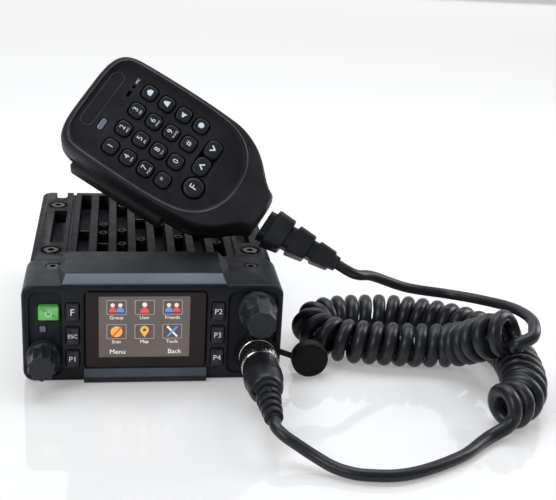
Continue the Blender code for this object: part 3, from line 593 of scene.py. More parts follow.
def varied_tube(name, points, radii, sides, mat):
    """A tube whose radius changes along POINTS."""
    tangents, across = carried_frames(points)
    bm = bmesh.new()
    rings = []
    for point, tangent, side, radius in zip(points, tangents, across, radii):
        other = tangent.cross(side)
        rings.append([point + radius * (cos(a) * side + sin(a) * other)
                      for a in (2 * pi * i / sides for i in range(sides))])
    add_loft(bm, rings)
    obj = object_from(name, bm, mat)
    obj.data.shade_smooth()
    return obj


def make_cord(mats):
    first = mic_point(RELIEF_END[0] - 4.0, RELIEF_END[1], CORD_PLANE)
    second = mic_point(RELIEF_END[0] + 9.3, RELIEF_END[1] + 0.6, CORD_PLANE)
    curl = curl_points(radians(215.0), radians(190.0))
    upper = [first, second] + [Vector(p) for p in UPPER_ROUTE]
    lower = [Vector(p) for p in LOWER_ROUTE[::-1]] + [Vector((SOCKET[0], -118.0, SOCKET[1]))]
    path = smooth_route(upper + curl + lower, 1.6)
    first_turn = min(range(len(path)), key=lambda i: (path[i] - curl[0]).length)
    last_turn = min(range(len(path)), key=lambda i: (path[i] - curl[-1]).length)
    radii = []
    fade = 22.0
    for i in range(len(path)):
        outside = max(first_turn - i, i - last_turn, 0) / fade
        share = max(0.0, 1.0 - outside)
        share = share * share * (3.0 - 2.0 * share)
        radii.append(CORD_RADIUS + (COIL_CORD_RADIUS - CORD_RADIUS) * share)
    path, radii = path[::-1], radii[::-1]
    cord = varied_tube("coiled_cord", path, radii, 14, mats["cord"])
    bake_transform(cord)
    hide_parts("cord_upper", "cord_curl", "cord_lower")


# ---------------------------------------------------------------------- radio

def paint_lit_faces(obj, mat, above):
    """Give MAT to the faces that slope up and forward higher than ABOVE; MAT is a lighter copy of the
    plastic, a painted highlight where those faces catch the light.
    """
    obj.data.materials.append(mat)
    for face in obj.data.polygons:
        if face.normal.y < -0.35 and face.normal.z > 0.3 and face.center.z > above * MM:
            face.material_index = 1


def make_front_housing(mats):
    height = HOUSING_TOP - HOUSING_BOTTOM
    middle = (HOUSING_TOP + HOUSING_BOTTOM) / 2
    layers = []
    round_edge = 1.4
    for k in range(5):
        angle = k / 4 * pi / 2
        inset = round_edge * (1 - sin(angle))
        layers.append((rounded(2 * (HALF_WIDTH - inset), height - 2 * inset, 5.2 - inset * 0.5, 8,
                               (0.0, middle)), FACE_Y + round_edge * (1 - cos(angle))))
    layers.append((rounded(2 * HALF_WIDTH, height, 5.2, 8, (0.0, middle)), HOUSING_BACK_Y))
    housing = layered("front_shell", layers, mats["housing"])

    bm = bmesh.new()
    left, right, sunk = -38.8, 30.2, 44.5
    front_slope, rear_slope = 2.0, 4.4
    section = ((FACE_Y + 0.5, sunk), (FACE_Y + 0.2, 47.6), (FACE_Y + 0.6, 48.3),
               (FACE_Y + 4.6, BLOCK_TOP - 0.2), (FACE_Y + 5.4, BLOCK_TOP),
               (HOUSING_BACK_Y - 0.9, BLOCK_TOP), (HOUSING_BACK_Y - 0.1, BLOCK_TOP - 0.8),
               (HOUSING_BACK_Y - 0.1, sunk))
    for side, sign in ((left, -1), (right, 1)):
        for y, z in section:
            slope = front_slope if y < FACE_Y + 10.0 else rear_slope
            spread = slope * (BLOCK_TOP - z) / (BLOCK_TOP - HOUSING_TOP)
            bm.verts.new((side + sign * spread, y, z))
    bmesh.ops.convex_hull(bm, input=bm.verts)
    block = object_from("block_shape", bm, mats["housing"])

    cuts = []
    inner = rounded(2 * HALF_WIDTH - 7.0, 41.0, 3.0, 3, (0.0, 23.5))
    cuts.append(prisms("hollow", [(inner, FACE_Y + 3.0, HOUSING_BACK_Y + 2.0)], mats["housing"]))
    for name, size, centre in (("wing_left", (14.4, 40.6), (-47.9, 23.6)),
                               ("wing_right", (22.2, 40.6), (44.3, 23.6))):
        field = [(rounded(size[0] - 1.0, size[1] - 1.0, 3.6, 6, centre), FACE_Y + 1.2),
                 (rounded(size[0], size[1], 4.0, 6, centre), FACE_Y + 0.2),
                 (rounded(size[0] + 1.6, size[1] + 1.6, 4.6, 6, centre), FACE_Y - 1.4)]
        cuts.append(layered(name, field, mats["housing"]))
    seat = [(rounded(WINDOW_SIZE[0] + 0.7, WINDOW_SIZE[1] + 0.7, 2.2, 5, WINDOW), FACE_Y + 1.6),
            (rounded(WINDOW_SIZE[0] + 0.9, WINDOW_SIZE[1] + 0.9, 2.3, 5, WINDOW), FACE_Y + 0.1),
            (rounded(WINDOW_SIZE[0] + 3.4, WINDOW_SIZE[1] + 3.4, 3.2, 5, WINDOW), FACE_Y - 1.2)]
    cuts.append(layered("window_seat", seat, mats["housing"]))
    holes = [(rounded(LCD_SIZE[0], LCD_SIZE[1], 1.0, 2, LCD), *HOLE_SPAN)]
    for x in (LEFT_KEY_X, RIGHT_KEY_X):
        for z in KEY_ROWS:
            holes.append((rounded(KEY_SIZE[0] + 0.6, KEY_SIZE[1] + 0.6, 1.2, 4, (x, z)),
                          *HOLE_SPAN))
    holes.append((rounded(POWER_SIZE[0] + 0.6, POWER_SIZE[1] + 0.6, 1.2, 4, POWER_BUTTON),
                  *HOLE_SPAN))
    holes.append((rounded(3.4, 3.4, 0.4, 2, STATUS_LED), *HOLE_SPAN))
    for centre, radius in ((VOLUME_KNOB, 3.9), (CHANNEL_KNOB, 3.9), (SOCKET, 7.4)):
        holes.append((circle(radius, 40, centre), *HOLE_SPAN))
    cuts.append(prisms("openings", holes, mats["housing"]))
    seats = [(circle(3.6, 36, (side * WING_SCREW[0], WING_SCREW[1])), 45.0, 60.0)
             for side in (-1, 1)]
    seat_cut = prisms("screw_seats", seats, mats["housing"], on_floor)
    settle(housing, 0.22, 30.0, cuts, [block], 2)
    settle(housing, 0.0, 30.0, [seat_cut])
    # the up- and forward-facing chamfer above the housing top takes the lighter copy: a painted
    # highlight
    paint_lit_faces(housing, mats["chamfer_highlight"], 47.4)
    mount(housing, "root", "housing", "front_housing")

    chin = [(FACE_Y + 0.9, 7.0), (FACE_Y - 0.8, 6.7), (FACE_Y - 2.5, 3.2), (FACE_Y - 2.3, 0.8),
            (FACE_Y - 1.8, 0.35), (FACE_Y + 0.9, 0.6)]
    bm = bmesh.new()
    add_loft(bm, [[(x, y, z) for y, z in chin] for x in (-31.2, 24.0)])
    chin_bar = settle(object_from("chin_bar", bm, mats["housing"]), 0.25, 30.0)
    # the chin's up- and forward-facing faces take the lighter copy: a painted highlight
    paint_lit_faces(chin_bar, mats["chin"], 2.0)
    mount(chin_bar, "root", "housing")


def make_heatsink(mats):
    length = SINK_BACK_Y - SINK_FRONT_Y
    plan = (0.0, (SINK_BACK_Y + SINK_FRONT_Y) / 2)
    layers = []
    for z, inset in ((SINK_BOTTOM, 1.6), (12.0, 0.0), (44.4, 0.0), (45.2, 0.25), (45.8, 0.8),
                     (SINK_TOP, 1.4)):
        layers.append((rounded(2 * (SINK_HALF_WIDTH - inset), length - inset, 4.0, 6, plan), z))
    sink = layered("heatsink_casting", layers, mats["casting"], on_floor)
    cuts = []
    pitch, groove = 9.4, 5.6
    grooves = []
    for i in range(8):
        x = -32.9 + i * pitch
        grooves.append((rounded(groove, 92.0, 1.2, 3, (x, 24.5)), 38.0, SINK_TOP + 4.0))
    for side in (-1, 1):
        grooves.append((rounded(6.4, 47.0, 0.8, 3, (side * 45.6, 20.6)), 39.5, SINK_TOP + 4.0))
        grooves.append((rounded(5.6, 16.0, 2.4, 5, (side * 46.2, SINK_BACK_Y - 1.5)), -5.0,
                        SINK_TOP + 4.0))
        grooves.append((rounded(1.6, 100.0, 0.4, 1, (side * 39.3, 30.5)), 44.6, SINK_TOP + 4.0))
    cuts.append(prisms("grooves", grooves, mats["casting"], on_floor))
    side_slots = []
    for z in (14.0, 19.0, 24.0, 29.0, 34.0, 39.0):
        for side in (-1, 1):
            side_slots.append((rounded(2.4, 2.0, 0.5, 1, (side * SINK_HALF_WIDTH, z)),
                               SINK_FRONT_Y + 8.0, SINK_BACK_Y - 8.0))
    cuts.append(prisms("side_slots", side_slots, mats["casting"], on_face))
    bores = []
    for side in (-1, 1):
        for x, y in FLANGE_SCREWS:
            centre = (side * x, y)
            bores.append(((circle(4.2, 36, centre), SINK_TOP - 1.9), (circle(4.4, 36, centre),
                         SINK_TOP - 0.9), (circle(5.4, 36, centre), SINK_TOP + 0.2)))
    for number, bore in enumerate(bores):
        cuts.append(layered("bore_%d" % number, bore, mats["casting"], on_floor))
    hollow = [(-50.5, SINK_FRONT_Y - 4.0), (50.5, SINK_FRONT_Y - 4.0), (50.5, SINK_BACK_Y - 4.0),
              (-50.5, SINK_BACK_Y - 4.0)]
    cuts.append(prisms("bay", [(hollow, -4.0, 32.0)], mats["casting"], on_floor))
    settle(sink, 0.3, 30.0, cuts)
    mount(sink, "root", "casting", "heatsink_chassis")

    # screw bosses and short bridges that stand in the grooves
    bosses = ((1, 29.9), (1, 17.7), (2, 20.9), (2, 1.8), (3, 8.0), (4, 30.0), (5, 12.0),
              (6, 24.0), (7, 4.0), (6, 58.0), (2, 60.0), (4, 62.0))
    for number, (groove_index, y) in enumerate(bosses):
        x = -32.9 + groove_index * pitch
        post = [(2.5, 37.8), (2.45, 43.2), (2.2, 43.7), (1.2, 43.7), (1.1, 41.0)]
        boss = settle(turned("fin_boss_%d" % number, post, (x, y), mats["casting"], on_floor, 28))
        mount(boss, "root", "casting")
    for number, (groove_index, y) in enumerate(((0, 22.0), (1, 4.0), (3, 40.0), (5, 44.0), (7, 36.0))):
        x = -32.9 + groove_index * pitch
        bridge = prisms("fin_bridge_%d" % number, [(rounded(groove - 0.05, 1.4, 0.3, 1, (x, y)),
                        37.9, 42.8)], mats["casting"], on_floor)
        mount(settle(bridge, 0.2), "root", "casting")

    cover = [(rounded(108.2, 99.9, 4.0, 6, plan), 0.0), (rounded(109.0, 100.7, 4.4, 6, plan), 0.4),
             (rounded(109.0, 100.7, 4.4, 6, plan), 2.3)]
    base = settle(layered("base_plate", cover, mats["casting"], on_floor), 0.15)
    mount(base, "root", "casting", "bottom_cover")


def make_screw(name, centre, radius, top, node, mats):
    profile = [(radius, top - 1.6), (radius, top - 0.45), (radius - 0.12, top - 0.18),
               (radius - 0.5, top)]
    head = turned(name, profile, centre, mats["screw"], on_floor, 40)
    hexagon = prisms("hex", [(circle(radius * 0.48, 6, centre), top - 1.1, top + 1.0)],
                     mats["screw"], on_floor)
    mount(settle(head, 0.08, 40.0, [hexagon]), "root", "screw", node)


def make_screws(mats):
    for side, tag in ((-1, "left"), (1, "right")):
        make_screw("wing_bolt_" + tag, (side * WING_SCREW[0], WING_SCREW[1]), 3.2, 46.9,
                   "housing_screw_" + tag, mats)
        for (x, y), place_tag in zip(FLANGE_SCREWS, ("front", "rear")):
            make_screw("flange_bolt_%s_%s" % (place_tag, tag), (side * x, y), 3.6,
                       SINK_TOP + 0.1, "flange_screw_%s_%s" % (place_tag, tag), mats)


def make_face_keys(mats):
    legends = (("F", "ESC", "P1"), ("P2", "P3", "P4"))
    names = (("key_f", "key_esc", "key_p1"), ("key_p2", "key_p3", "key_p4"))
    for column, texts, x in zip(names, legends, (LEFT_KEY_X, RIGHT_KEY_X)):
        for node, text, z in zip(column, texts, KEY_ROWS):
            cap = layered(node + "_cap", boxy((x, z), KEY_SIZE, KEY_TOP_Y, KEY_BACK_Y, 1.0, 0.55),
                          mats["key"])
            mount(settle(cap), node + "_body", "key", node)
            size = {"F": 4.6, "ESC": 2.6}.get(text, 3.6)
            label = word(node + "_legend", text, size, (x, KEY_TOP_Y - 0.03, z), (1, 0, 0), (0, 0, 1),
                         mats["white"])
            mount(label, node + "_body", "key")
    cap = boxy(POWER_BUTTON, POWER_SIZE, KEY_TOP_Y, KEY_BACK_Y, 1.1, 0.6)
    power = layered("power_cap", cap, mats["green"])
    mount(settle(power), "power_button_body", "power", "power_button")
    x, z = POWER_BUTTON
    arc = [Vector((x + 1.35 * sin(a), KEY_TOP_Y - 0.02, z - 0.1 + 1.35 * cos(a)))
           for a in (0.6 + (2 * pi - 1.2) * k / 24 for k in range(25))]
    ring = tube_mesh("power_symbol_ring", arc, 0.2, 8, mats["white"])
    mount(ring, "power_button_body", "power")
    bar = tube_mesh("power_symbol_bar", [Vector((x, KEY_TOP_Y - 0.02, z + 0.3)),
                    Vector((x, KEY_TOP_Y - 0.02, z + 1.7))], 0.2, 8, mats["white"])
    mount(bar, "power_button_body", "power")
    led = prisms("status_lens", [(rounded(2.8, 2.8, 0.4, 3, STATUS_LED), FACE_Y + 0.5,
                 KEY_BACK_Y)], mats["lens"])
    mount(settle(led, 0.2), "root", "lens", "status_led")


def make_display(mats):
    window = [(rounded(WINDOW_SIZE[0] - 0.8, WINDOW_SIZE[1] - 0.8, 1.8, 6, WINDOW), FACE_Y - 0.1),
              (rounded(WINDOW_SIZE[0], WINDOW_SIZE[1], 2.0, 6, WINDOW), FACE_Y + 0.3),
              (rounded(WINDOW_SIZE[0], WINDOW_SIZE[1], 2.0, 6, WINDOW), FACE_Y + 1.3)]
    glass = settle(layered("window_glass", window, mats["window"]))
    mount(glass, "root", "window", "display_window")
    lit = FACE_Y - 0.14
    panel = prisms("screen_panel", [(rounded(LCD_SIZE[0] - 0.6, LCD_SIZE[1] - 0.4, 0.5, 3, LCD),
                   lit, lit + 0.1)], mats["screen"])
    mount(panel, "root", "lcd")
    make_icons(mats, lit - 0.02)


def figure(name, x, z, y, scale, mat, mats):
    """A generic person sign: a round head over rounded shoulders."""
    head = prisms(name + "_head", [(circle(0.85 * scale, 24, (x, z + 1.0 * scale)), y - 0.09,
                  y - 0.02)], mats["icon_skin"])
    mount(head, "root", "lcd")
    body = []
    for k in range(13):
        a = pi * k / 12
        body.append((x + 1.55 * scale * cos(a), z - 2.0 * scale + 2.1 * scale * sin(a)))
    shoulders = prisms(name + "_body", [(body, y - 0.08, y - 0.02)], mat)
    mount(shoulders, "root", "lcd")


def make_icons(mats, y):
    columns, rows = (-16.7, -4.3, 8.1), (36.7, 24.9)
    width, high = 8.8, 7.2
    labels = (("Group", "User", "Friends"), ("Scan", "Map", "Tools"))
    for j, z in enumerate(rows):
        for i, x in enumerate(columns):
            tag = "icon_%d_%d" % (j, i)
            border = prisms(tag + "_frame", [(rounded(width, high, 0.5, 3, (x, z)), y - 0.03, y)],
                            mats["icon_frame"])
            mount(border, "root", "lcd")
            back = prisms(tag + "_back", [(rounded(width - 0.7, high - 0.7, 0.4, 3, (x, z)),
                          y - 0.05, y - 0.01)], mats["icon_back"])
            mount(back, "root", "lcd")
            label = word(tag + "_label", labels[j][i], 2.3, (x, y - 0.03, z - 5.0), (1, 0, 0),
                         (0, 0, 1), mats["screen_text"], 0.02)
            mount(label, "root", "lcd")
    top, bottom = rows
    people = (("pair_a", 0, -1.7, 0.04, 1.1, "icon_red"), ("pair_b", 0, 1.7, 0.06, 1.1, "icon_blue"),
              ("single", 1, 0.0, 0.04, 1.3, "icon_red"),
              ("duo_a", 2, -1.7, 0.04, 1.1, "icon_blue"), ("duo_b", 2, 1.7, 0.06, 1.1, "icon_red"))
    for tag, column, shift, lift, scale, key in people:
        figure(tag, columns[column] + shift, top, y - lift, scale, mats[key], mats)
    x = columns[0]
    dial = prisms("dial_disc", [(circle(2.6, 32, (x, bottom)), y - 0.09, y - 0.03)],
                  mats["icon_orange"])
    mount(dial, "root", "lcd")
    needle = prisms("dial_needle", [([(x - 2.2, bottom - 2.2), (x - 1.2, bottom - 2.4),
                    (x + 2.6, bottom + 2.2), (x + 2.0, bottom + 2.6)], y - 0.13, y - 0.05)],
                    mats["icon_red"])
    mount(needle, "root", "lcd")
    x = columns[1]
    drop = [(x + 1.9 * cos(a), bottom + 0.8 + 1.9 * sin(a))
            for a in (-0.5 + (pi + 1.0) * k / 20 for k in range(21))] + [(x, bottom - 2.8)]
    pin = prisms("map_pin", [(drop, y - 0.09, y - 0.03)], mats["icon_orange"])
    mount(pin, "root", "lcd")
    eye = prisms("map_pin_eye", [(circle(0.8, 20, (x, bottom + 0.8)), y - 0.12, y - 0.05)],
                 mats["icon_back"])
    mount(eye, "root", "lcd")
    x = columns[2]
    for tag, sign in (("tool_a", 1), ("tool_b", -1)):
        bar = [(x - sign * 2.6, bottom - 2.4), (x - sign * 1.9, bottom - 2.8),
               (x + sign * 2.6, bottom + 2.2), (x + sign * 1.9, bottom + 2.8)]
        handle = prisms(tag, [(bar, y - 0.09 - 0.02 * sign, y - 0.03)],
                        mats["icon_blue" if sign > 0 else "screen_text"])
        mount(handle, "root", "lcd")
    for tag, text, x in (("soft_left", "Menu", -16.2), ("soft_right", "Back", 9.2)):
        label = word(tag, text, 3.2, (x, y - 0.03, 14.9), (1, 0, 0), (0, 0, 1),
                     mats["screen_text"], 0.02)
        mount(label, "root", "lcd")


def fluted(radius, depth, flutes, centre, count):
    """A circle of RADIUS with concave scallops of DEPTH that meet in ridges."""
    points = []
    for i in range(count):
        angle = 2 * pi * i / count
        r = radius - depth * abs(cos(flutes * angle / 2))
        points.append((centre[0] + r * cos(angle), centre[1] + r * sin(angle)))
    return points


def make_knob(name, centre, spec, flutes, body, node, mats):
    layers = [(fluted(r, d, flutes, centre, flutes * 14), y) for r, d, y in spec]
    knob = layered(name, layers, mats["knob"])
    bore = prisms("bore", [(circle(3.3, 24, centre), FACE_Y - 9.0, FACE_Y + 4.0)], mats["knob"])
    mount(settle(knob, 0.0, 30.0, [bore]), body, "knob", node)


def make_knobs(mats):
    f = FACE_Y
    make_knob("volume_dial", VOLUME_KNOB,
              ((5.5, 0.45, f - 15.5), (6.0, 0.6, f - 15.35), (6.3, 0.75, f - 14.9),
               (6.7, 0.8, f - 5.7), (6.75, 0.5, f - 5.4), (6.9, 0.0, f - 5.2),
               (7.2, 0.0, f - 4.9), (7.3, 0.0, f - 4.4), (7.3, 0.0, f - 1.0)), 10,
              "volume", "volume_knob", mats)
    make_knob("channel_dial", CHANNEL_KNOB,
              ((5.6, 0.1, f - 21.0), (6.2, 0.2, f - 20.8), (6.6, 0.4, f - 20.2),
               (7.15, 0.7, f - 13.6), (7.5, 0.8, f - 13.2), (7.9, 0.9, f - 12.8),
               (8.3, 0.8, f - 7.4), (8.4, 0.3, f - 7.1), (8.7, 0.0, f - 6.9), (8.75, 0.0, f - 6.0),
               (8.6, 0.0, f - 3.4), (8.3, 0.0, f - 2.2), (7.8, 0.0, f - 1.0)), 9,
              "channel", "channel_knob", mats)


def make_connector(mats):
    profile = [(6.6, -69.8), (7.0, -69.4), (7.0, -62.4), (7.6, -62.3), (8.4, -62.2), (8.7, -61.9),
               (8.8, -61.4), (8.8, -60.3), (7.1, -60.3), (7.1, -50.0)]
    socket = settle(turned("socket_shell", profile, SOCKET, mats["nickel"]))
    mount(socket, "root", "nickel", "mic_socket")
    outline = fluted(8.9, 0.22, 36, SOCKET, 36 * 6)
    plain = fluted(8.6, 0.0, 36, SOCKET, 36 * 6)
    rim = fluted(8.2, 0.0, 36, SOCKET, 36 * 6)
    ring = layered("coupling_nut", [(rim, -73.2), (plain, -72.8), (plain, -71.4), (outline, -71.0),
                   (outline, -65.6), (plain, -65.2), (plain, -63.2), (rim, -62.7)], mats["nickel"])
    bore = prisms("nut_bore", [(circle(7.35, 64, SOCKET), -76.0, -60.0)], mats["nickel"])
    mount(settle(ring, 0.06, 40.0, [bore]), "plug_ring", "nickel", "plug_coupling_ring")

    body = [(7.0, -70.3), (7.0, -73.6), (7.9, -73.6), (8.2, -73.9), (8.35, -75.0), (8.35, -80.4)]
    for k in range(4):
        y = -80.8 - 1.3 * k
        body += [(8.7, y), (8.7, y - 0.6), (8.35, y - 0.7), (8.35, y - 1.2)]
    body += [(8.3, -86.4), (8.0, -90.0), (7.6, -93.0), (7.1, -94.4), (6.4, -95.0)]
    ribs, first, pitch = 5, -95.3, -4.9
    for i in range(ribs):
        radius, start = 5.9 - 0.45 * i, first + i * pitch
        body += [(radius - 0.5, start), (radius, start - 0.4), (radius - 0.05, start - 2.9),
                 (radius - 0.4, start - 3.2), (radius - 1.3, start - 3.3),
                 (radius - 1.35, start + pitch + 0.1)]
    body[-1] = (body[-1][0], PLUG_END_Y)
    plug = turned("plug_shell", body[::-1], SOCKET, mats["cord"])
    slots = []
    for i in range(ribs):
        start = first + i * pitch
        turn = pi / 2 if i % 2 else 0.0
        for sign in (-1, 1):
            x = SOCKET[0] + sign * 5.6 * cos(turn)
            z = SOCKET[1] + sign * 5.6 * sin(turn)
            slots.append((rounded(2.2, 2.2, 0.3, 1, (x, z)), start - 4.0, start + 0.6))
    cutter = prisms("relief_slots", slots, mats["cord"])
    mount(settle(plug, 0.0, 30.0, [cutter]), "root", "cord", "plug_body")

    centre = (72.3, 8.8)
    cap_profile = [(6.9, FACE_Y + 0.02), (7.6, FACE_Y + 0.1), (8.15, FACE_Y + 0.4),
                   (8.45, FACE_Y + 0.9), (8.5, FACE_Y + 1.5), (8.5, FACE_Y + 5.6),
                   (8.2, FACE_Y + 6.0), (7.0, FACE_Y + 6.0), (6.9, FACE_Y + 2.2)]
    cap = settle(turned("socket_cover", cap_profile, centre, mats["rubber"]))
    mount(cap, "root", "cord", "dust_cap")
    path = [(56.2, -61.4, 15.2), (59.5, -61.4, 13.9), (62.6, -60.2, 12.2), (65.0, -58.6, 10.6),
            (66.4, -57.8, 9.9)]
    bm = bmesh.new()
    rings = []
    for point in smooth_route(path, 0.8):
        rings.append([(point.x, point.y + a, point.z + b) for a, b in rounded(1.0, 3.0, 0.45, 3)])
    add_loft(bm, rings)
    mount(settle(object_from("cover_strap", bm, mats["rubber"])), "root", "cord")
    collar = layered("cover_collar", [(circle(9.8, 56, SOCKET), -61.9),
                     (circle(10.15, 56, SOCKET), -61.6), (circle(10.15, 56, SOCKET), -61.1),
                     (circle(9.9, 56, SOCKET), -60.9)], mats["rubber"])
    hole = prisms("collar_hole", [(circle(9.1, 56, SOCKET), -64.0, -59.0)], mats["cord"])
    mount(settle(collar, 0.0, 30.0, [hole]), "root", "cord")


def make_rear(mats):
    rear = SINK_BACK_Y + 0.3
    centre = (-28.0, 22.0)
    profile = [(9.0, rear), (9.0, rear + 2.2), (8.7, rear + 2.5), (7.3, rear + 2.6)]
    threads, pitch = 7, 1.25
    for k in range(threads):
        y = rear + 3.0 + k * pitch
        profile += [(7.1, y), (7.6, y + pitch * 0.35), (7.6, y + pitch * 0.6), (7.1, y + pitch * 0.95)]
    profile += [(6.9, rear + 12.4), (6.6, rear + 12.6), (5.0, rear + 12.6), (4.6, rear + 12.2),
                (4.4, rear + 7.0)]
    antenna = settle(turned("antenna_barrel", profile, centre, mats["nickel"]))
    mount(antenna, "root", "nickel", "antenna_socket")
    pin = [(1.3, rear + 7.1), (1.3, rear + 10.6), (0.9, rear + 11.2), (0.5, rear + 11.0)]
    mount(settle(turned("antenna_contact", pin, centre, mats["brass"], on_face, 24)), "root", "shaft")
    gland = [(6.2, rear), (6.5, rear + 0.4), (6.5, rear + 1.7), (6.2, rear + 2.1), (5.3, rear + 2.3),
             (4.6, rear + 8.6), (4.2, rear + 9.1), (3.0, rear + 9.2), (2.6, rear + 8.8),
             (2.6, rear + 5.0)]
    mount(settle(turned("lead_gland", gland, (30.0, 20.0), mats["cord"])), "root", "cord",
          "dc_lead_gland")


# ----------------------------------------------------------------- microphone

def mirrored_outline(half, inset, end_x, count=150):
    """A smooth closed outline from its upper half, shrunk by INSET."""
    points = [(x + inset if x < 0 else x - inset * x / end_x, y - inset) for x, y in half]
    points = points + [(x, -y) for x, y in reversed(points)]
    route = smooth_route([(x, y, 0.0) for x, y in points], 1.0, True, count)
    return [(p.x, p.y) for p in route[:-1]]


MIC_HALF = ((-40.0, 8.0), (-39.8, 14.0), (-39.0, 19.6), (-36.8, 24.4), (-32.6, 27.4),
            (-26.0, 28.6), (-8.0, 29.2), (12.0, 29.2), (30.0, 28.2), (40.0, 25.6), (47.0, 21.4),
            (53.0, 15.8), (57.5, 11.8), (61.2, 10.0), (62.0, 7.0))
RIM_HALF = ((-36.4, 8.0), (-36.2, 13.0), (-35.2, 18.5), (-32.4, 22.9), (-27.0, 25.2),
            (-8.0, 25.9), (14.0, 25.8), (28.0, 24.0), (36.5, 19.6), (42.0, 12.6), (44.4, 4.6))


def radial(outline, centre=(6.0, 0.0), count=160):
    """The same outline with its points at even angles around CENTRE."""
    points = [(x - centre[0], y - centre[1]) for x, y in outline]
    result = []
    for k in range(count):
        angle = 2 * pi * (k + 0.5) / count
        dx, dy = cos(angle), sin(angle)
        reach = 0.0
        for (ax, ay), (bx, by) in zip(points, points[1:] + points[:1]):
            side_a, side_b = dx * ay - dy * ax, dx * by - dy * bx
            if side_a * side_b > 0.0 or side_a == side_b:
                continue
            share = side_a / (side_a - side_b)
            along = dx * (ax + share * (bx - ax)) + dy * (ay + share * (by - ay))
            reach = max(reach, along)
        result.append((centre[0] + reach * dx, centre[1] + reach * dy))
    return result


def body_outline(inset=0.0):
    lean = RELIEF_START[1] + 1.5
    return radial([(x, y + lean * max(0.0, (x - 30.0) / 32.0))
                   for x, y in mirrored_outline(MIC_HALF, inset, 62.0)])


def rim_outline(inset=0.0):
    return radial(mirrored_outline(RIM_HALF, inset, 44.4))


def mic_key_places():
    names = (("key_1", "key_2", "key_3", "key_a"), ("key_4", "key_5", "key_6", "key_b"),
             ("key_7", "key_8", "key_9", "key_c"), ("key_star", "key_0", "key_hash", "key_d"))
    return [(name, ((i - 1.5) * KEY_PITCH[0], (j - 1.5) * KEY_PITCH[1]))
            for i, column in enumerate(names) for j, name in enumerate(column)]


def make_mic_cases(mats):
    layers = [(body_outline(0.35), MIC_PARTING + 0.15), (body_outline(0.0), MIC_PARTING + 0.7),
              (body_outline(0.0), -5.0), (body_outline(0.2), -3.2), (body_outline(0.5), -1.4),
              (body_outline(0.9), 0.1), (body_outline(1.3), 0.9), (body_outline(1.8), MIC_RIM),
              (rim_outline(-0.6), MIC_RIM), (rim_outline(-0.2), MIC_RIM - 0.2),
              (rim_outline(0.0), MIC_RIM - 0.5), (rim_outline(0.15), 0.5),
              (rim_outline(0.4), 0.15), (rim_outline(0.9), 0.0)]
    case = layered("mic_face_shell", layers, mats["mic"], on_floor, MIC_POSE)
    cuts = []
    cuts.append(prisms("bay", [(body_outline(3.4), -14.0, -4.6)], mats["mic"], on_floor, MIC_POSE))
    wells = [((MIC_WELL, MIC_WELL), 3.0, centre) for _, centre in mic_key_places()]
    wells += [((8.4, 20.2), 3.6, (25.6, 4.5)), ((3.4, 6.8), 1.6, MIC_LED),
              ((1.4, 1.5), 0.69, (-22.4, 14.9)), ((1.4, 3.4), 0.69, (-22.4, 10.6))]
    for group in (wells, [((11.2, 11.2), 5.59, ROUND_KEY)]):
        bm = bmesh.new()
        for (wide, high), radius, centre in group:
            rings = []
            for grow, depth in ((0.0, -3.2), (0.0, -0.35), (0.1, -0.15), (0.25, 0.02), (0.4, 0.2)):
                ring = rounded(wide + 2 * grow, high + 2 * grow, radius + grow, 7, centre)
                rings.append([on_floor(point, depth) for point in ring])
            add_loft(bm, rings)
        cuts.append(object_from("wells", bm, mats["field"], MIC_POSE))
    settle(case, 0.0, 35.0, cuts)
    mount(case, "mic", "mic", "mic_front_case")

    layers = [(body_outline(11.0), MIC_BACK), (body_outline(7.6), MIC_BACK + 0.5),
              (body_outline(5.0), MIC_BACK + 1.8), (body_outline(3.0), MIC_BACK + 4.0),
              (body_outline(1.6), MIC_BACK + 7.0), (body_outline(0.6), MIC_BACK + 10.5),
              (body_outline(0.0), MIC_PARTING - 3.6), (body_outline(0.0), MIC_PARTING - 0.7),
              (body_outline(0.35), MIC_PARTING - 0.15)]
    back = layered("mic_back_shell", layers, mats["mic"], on_floor, MIC_POSE)
    hollow = prisms("hollow", [(body_outline(6.5), MIC_BACK + 2.6, -8.0)], mats["mic"], on_floor,
                    MIC_POSE)
    slot = prisms("slot", [(rounded(53.0, 12.4, 1.0, 3, (-2.5, -31.0)), -25.2, -12.0)],
                  mats["mic"], on_floor, MIC_POSE)
    settle(back, 0.25, 35.0, [hollow, slot])
    mount(back, "mic", "mic", "mic_rear_case")

    points = [Vector((x, y, MIC_RIM - 0.12)) for x, y in rim_outline(-0.5)]
    bead = tube_mesh("face_bead", points, 0.36, 8, mats["bead"], True, MIC_POSE)
    mount(bead, "mic", "mic")
    plate = rounded(6.2, 31.0, 3.0, 8, (-31.0, 1.5))
    border = tube_mesh("plate_border", [Vector((x, y, 0.02)) for x, y in plate], 0.13, 8,
                       mats["bead"], True, MIC_POSE)
    mount(border, "mic", "mic")


def make_ptt(mats):
    length, depth, middle_y, mirror_z = 51.0, 4.4, -29.3, -37.0
    edge = ((-24.2, 1.6), (-23.4, 0.7), (-22.4, 0.2))
    spec = edge + tuple((mirror_z - z, shrink) for z, shrink in reversed(edge))
    layers = []
    for z, shrink in spec:
        centre = (-2.5, middle_y + shrink * 0.4)
        layers.append((rounded(length - shrink, depth - shrink, 1.4, 5, centre), z))
    bar = layered("talk_bar", layers, mats["key"], on_floor, MIC_POSE)
    grips = [(rounded(1.0, 1.2, 0.2, 1, (-22.0 + 4.6 * k, -31.8)), -22.0, -15.0)
             for k in range(9)]
    cutter = prisms("grips", grips, mats["key"], on_floor, MIC_POSE)
    mount(settle(bar, 0.0, 30.0, [cutter]), "ptt", "key", "ptt_bar")


def mic_word(name, text, size, x, y, z, body, mats):
    right = MIC_POSE.to_3x3() @ Vector((0, 1, 0))
    up = MIC_POSE.to_3x3() @ Vector((-1, 0, 0))
    label = word(name, text, size, mic_point(x, y, z), right, up, mats["blue_white"])
    mount(label, body, "key")


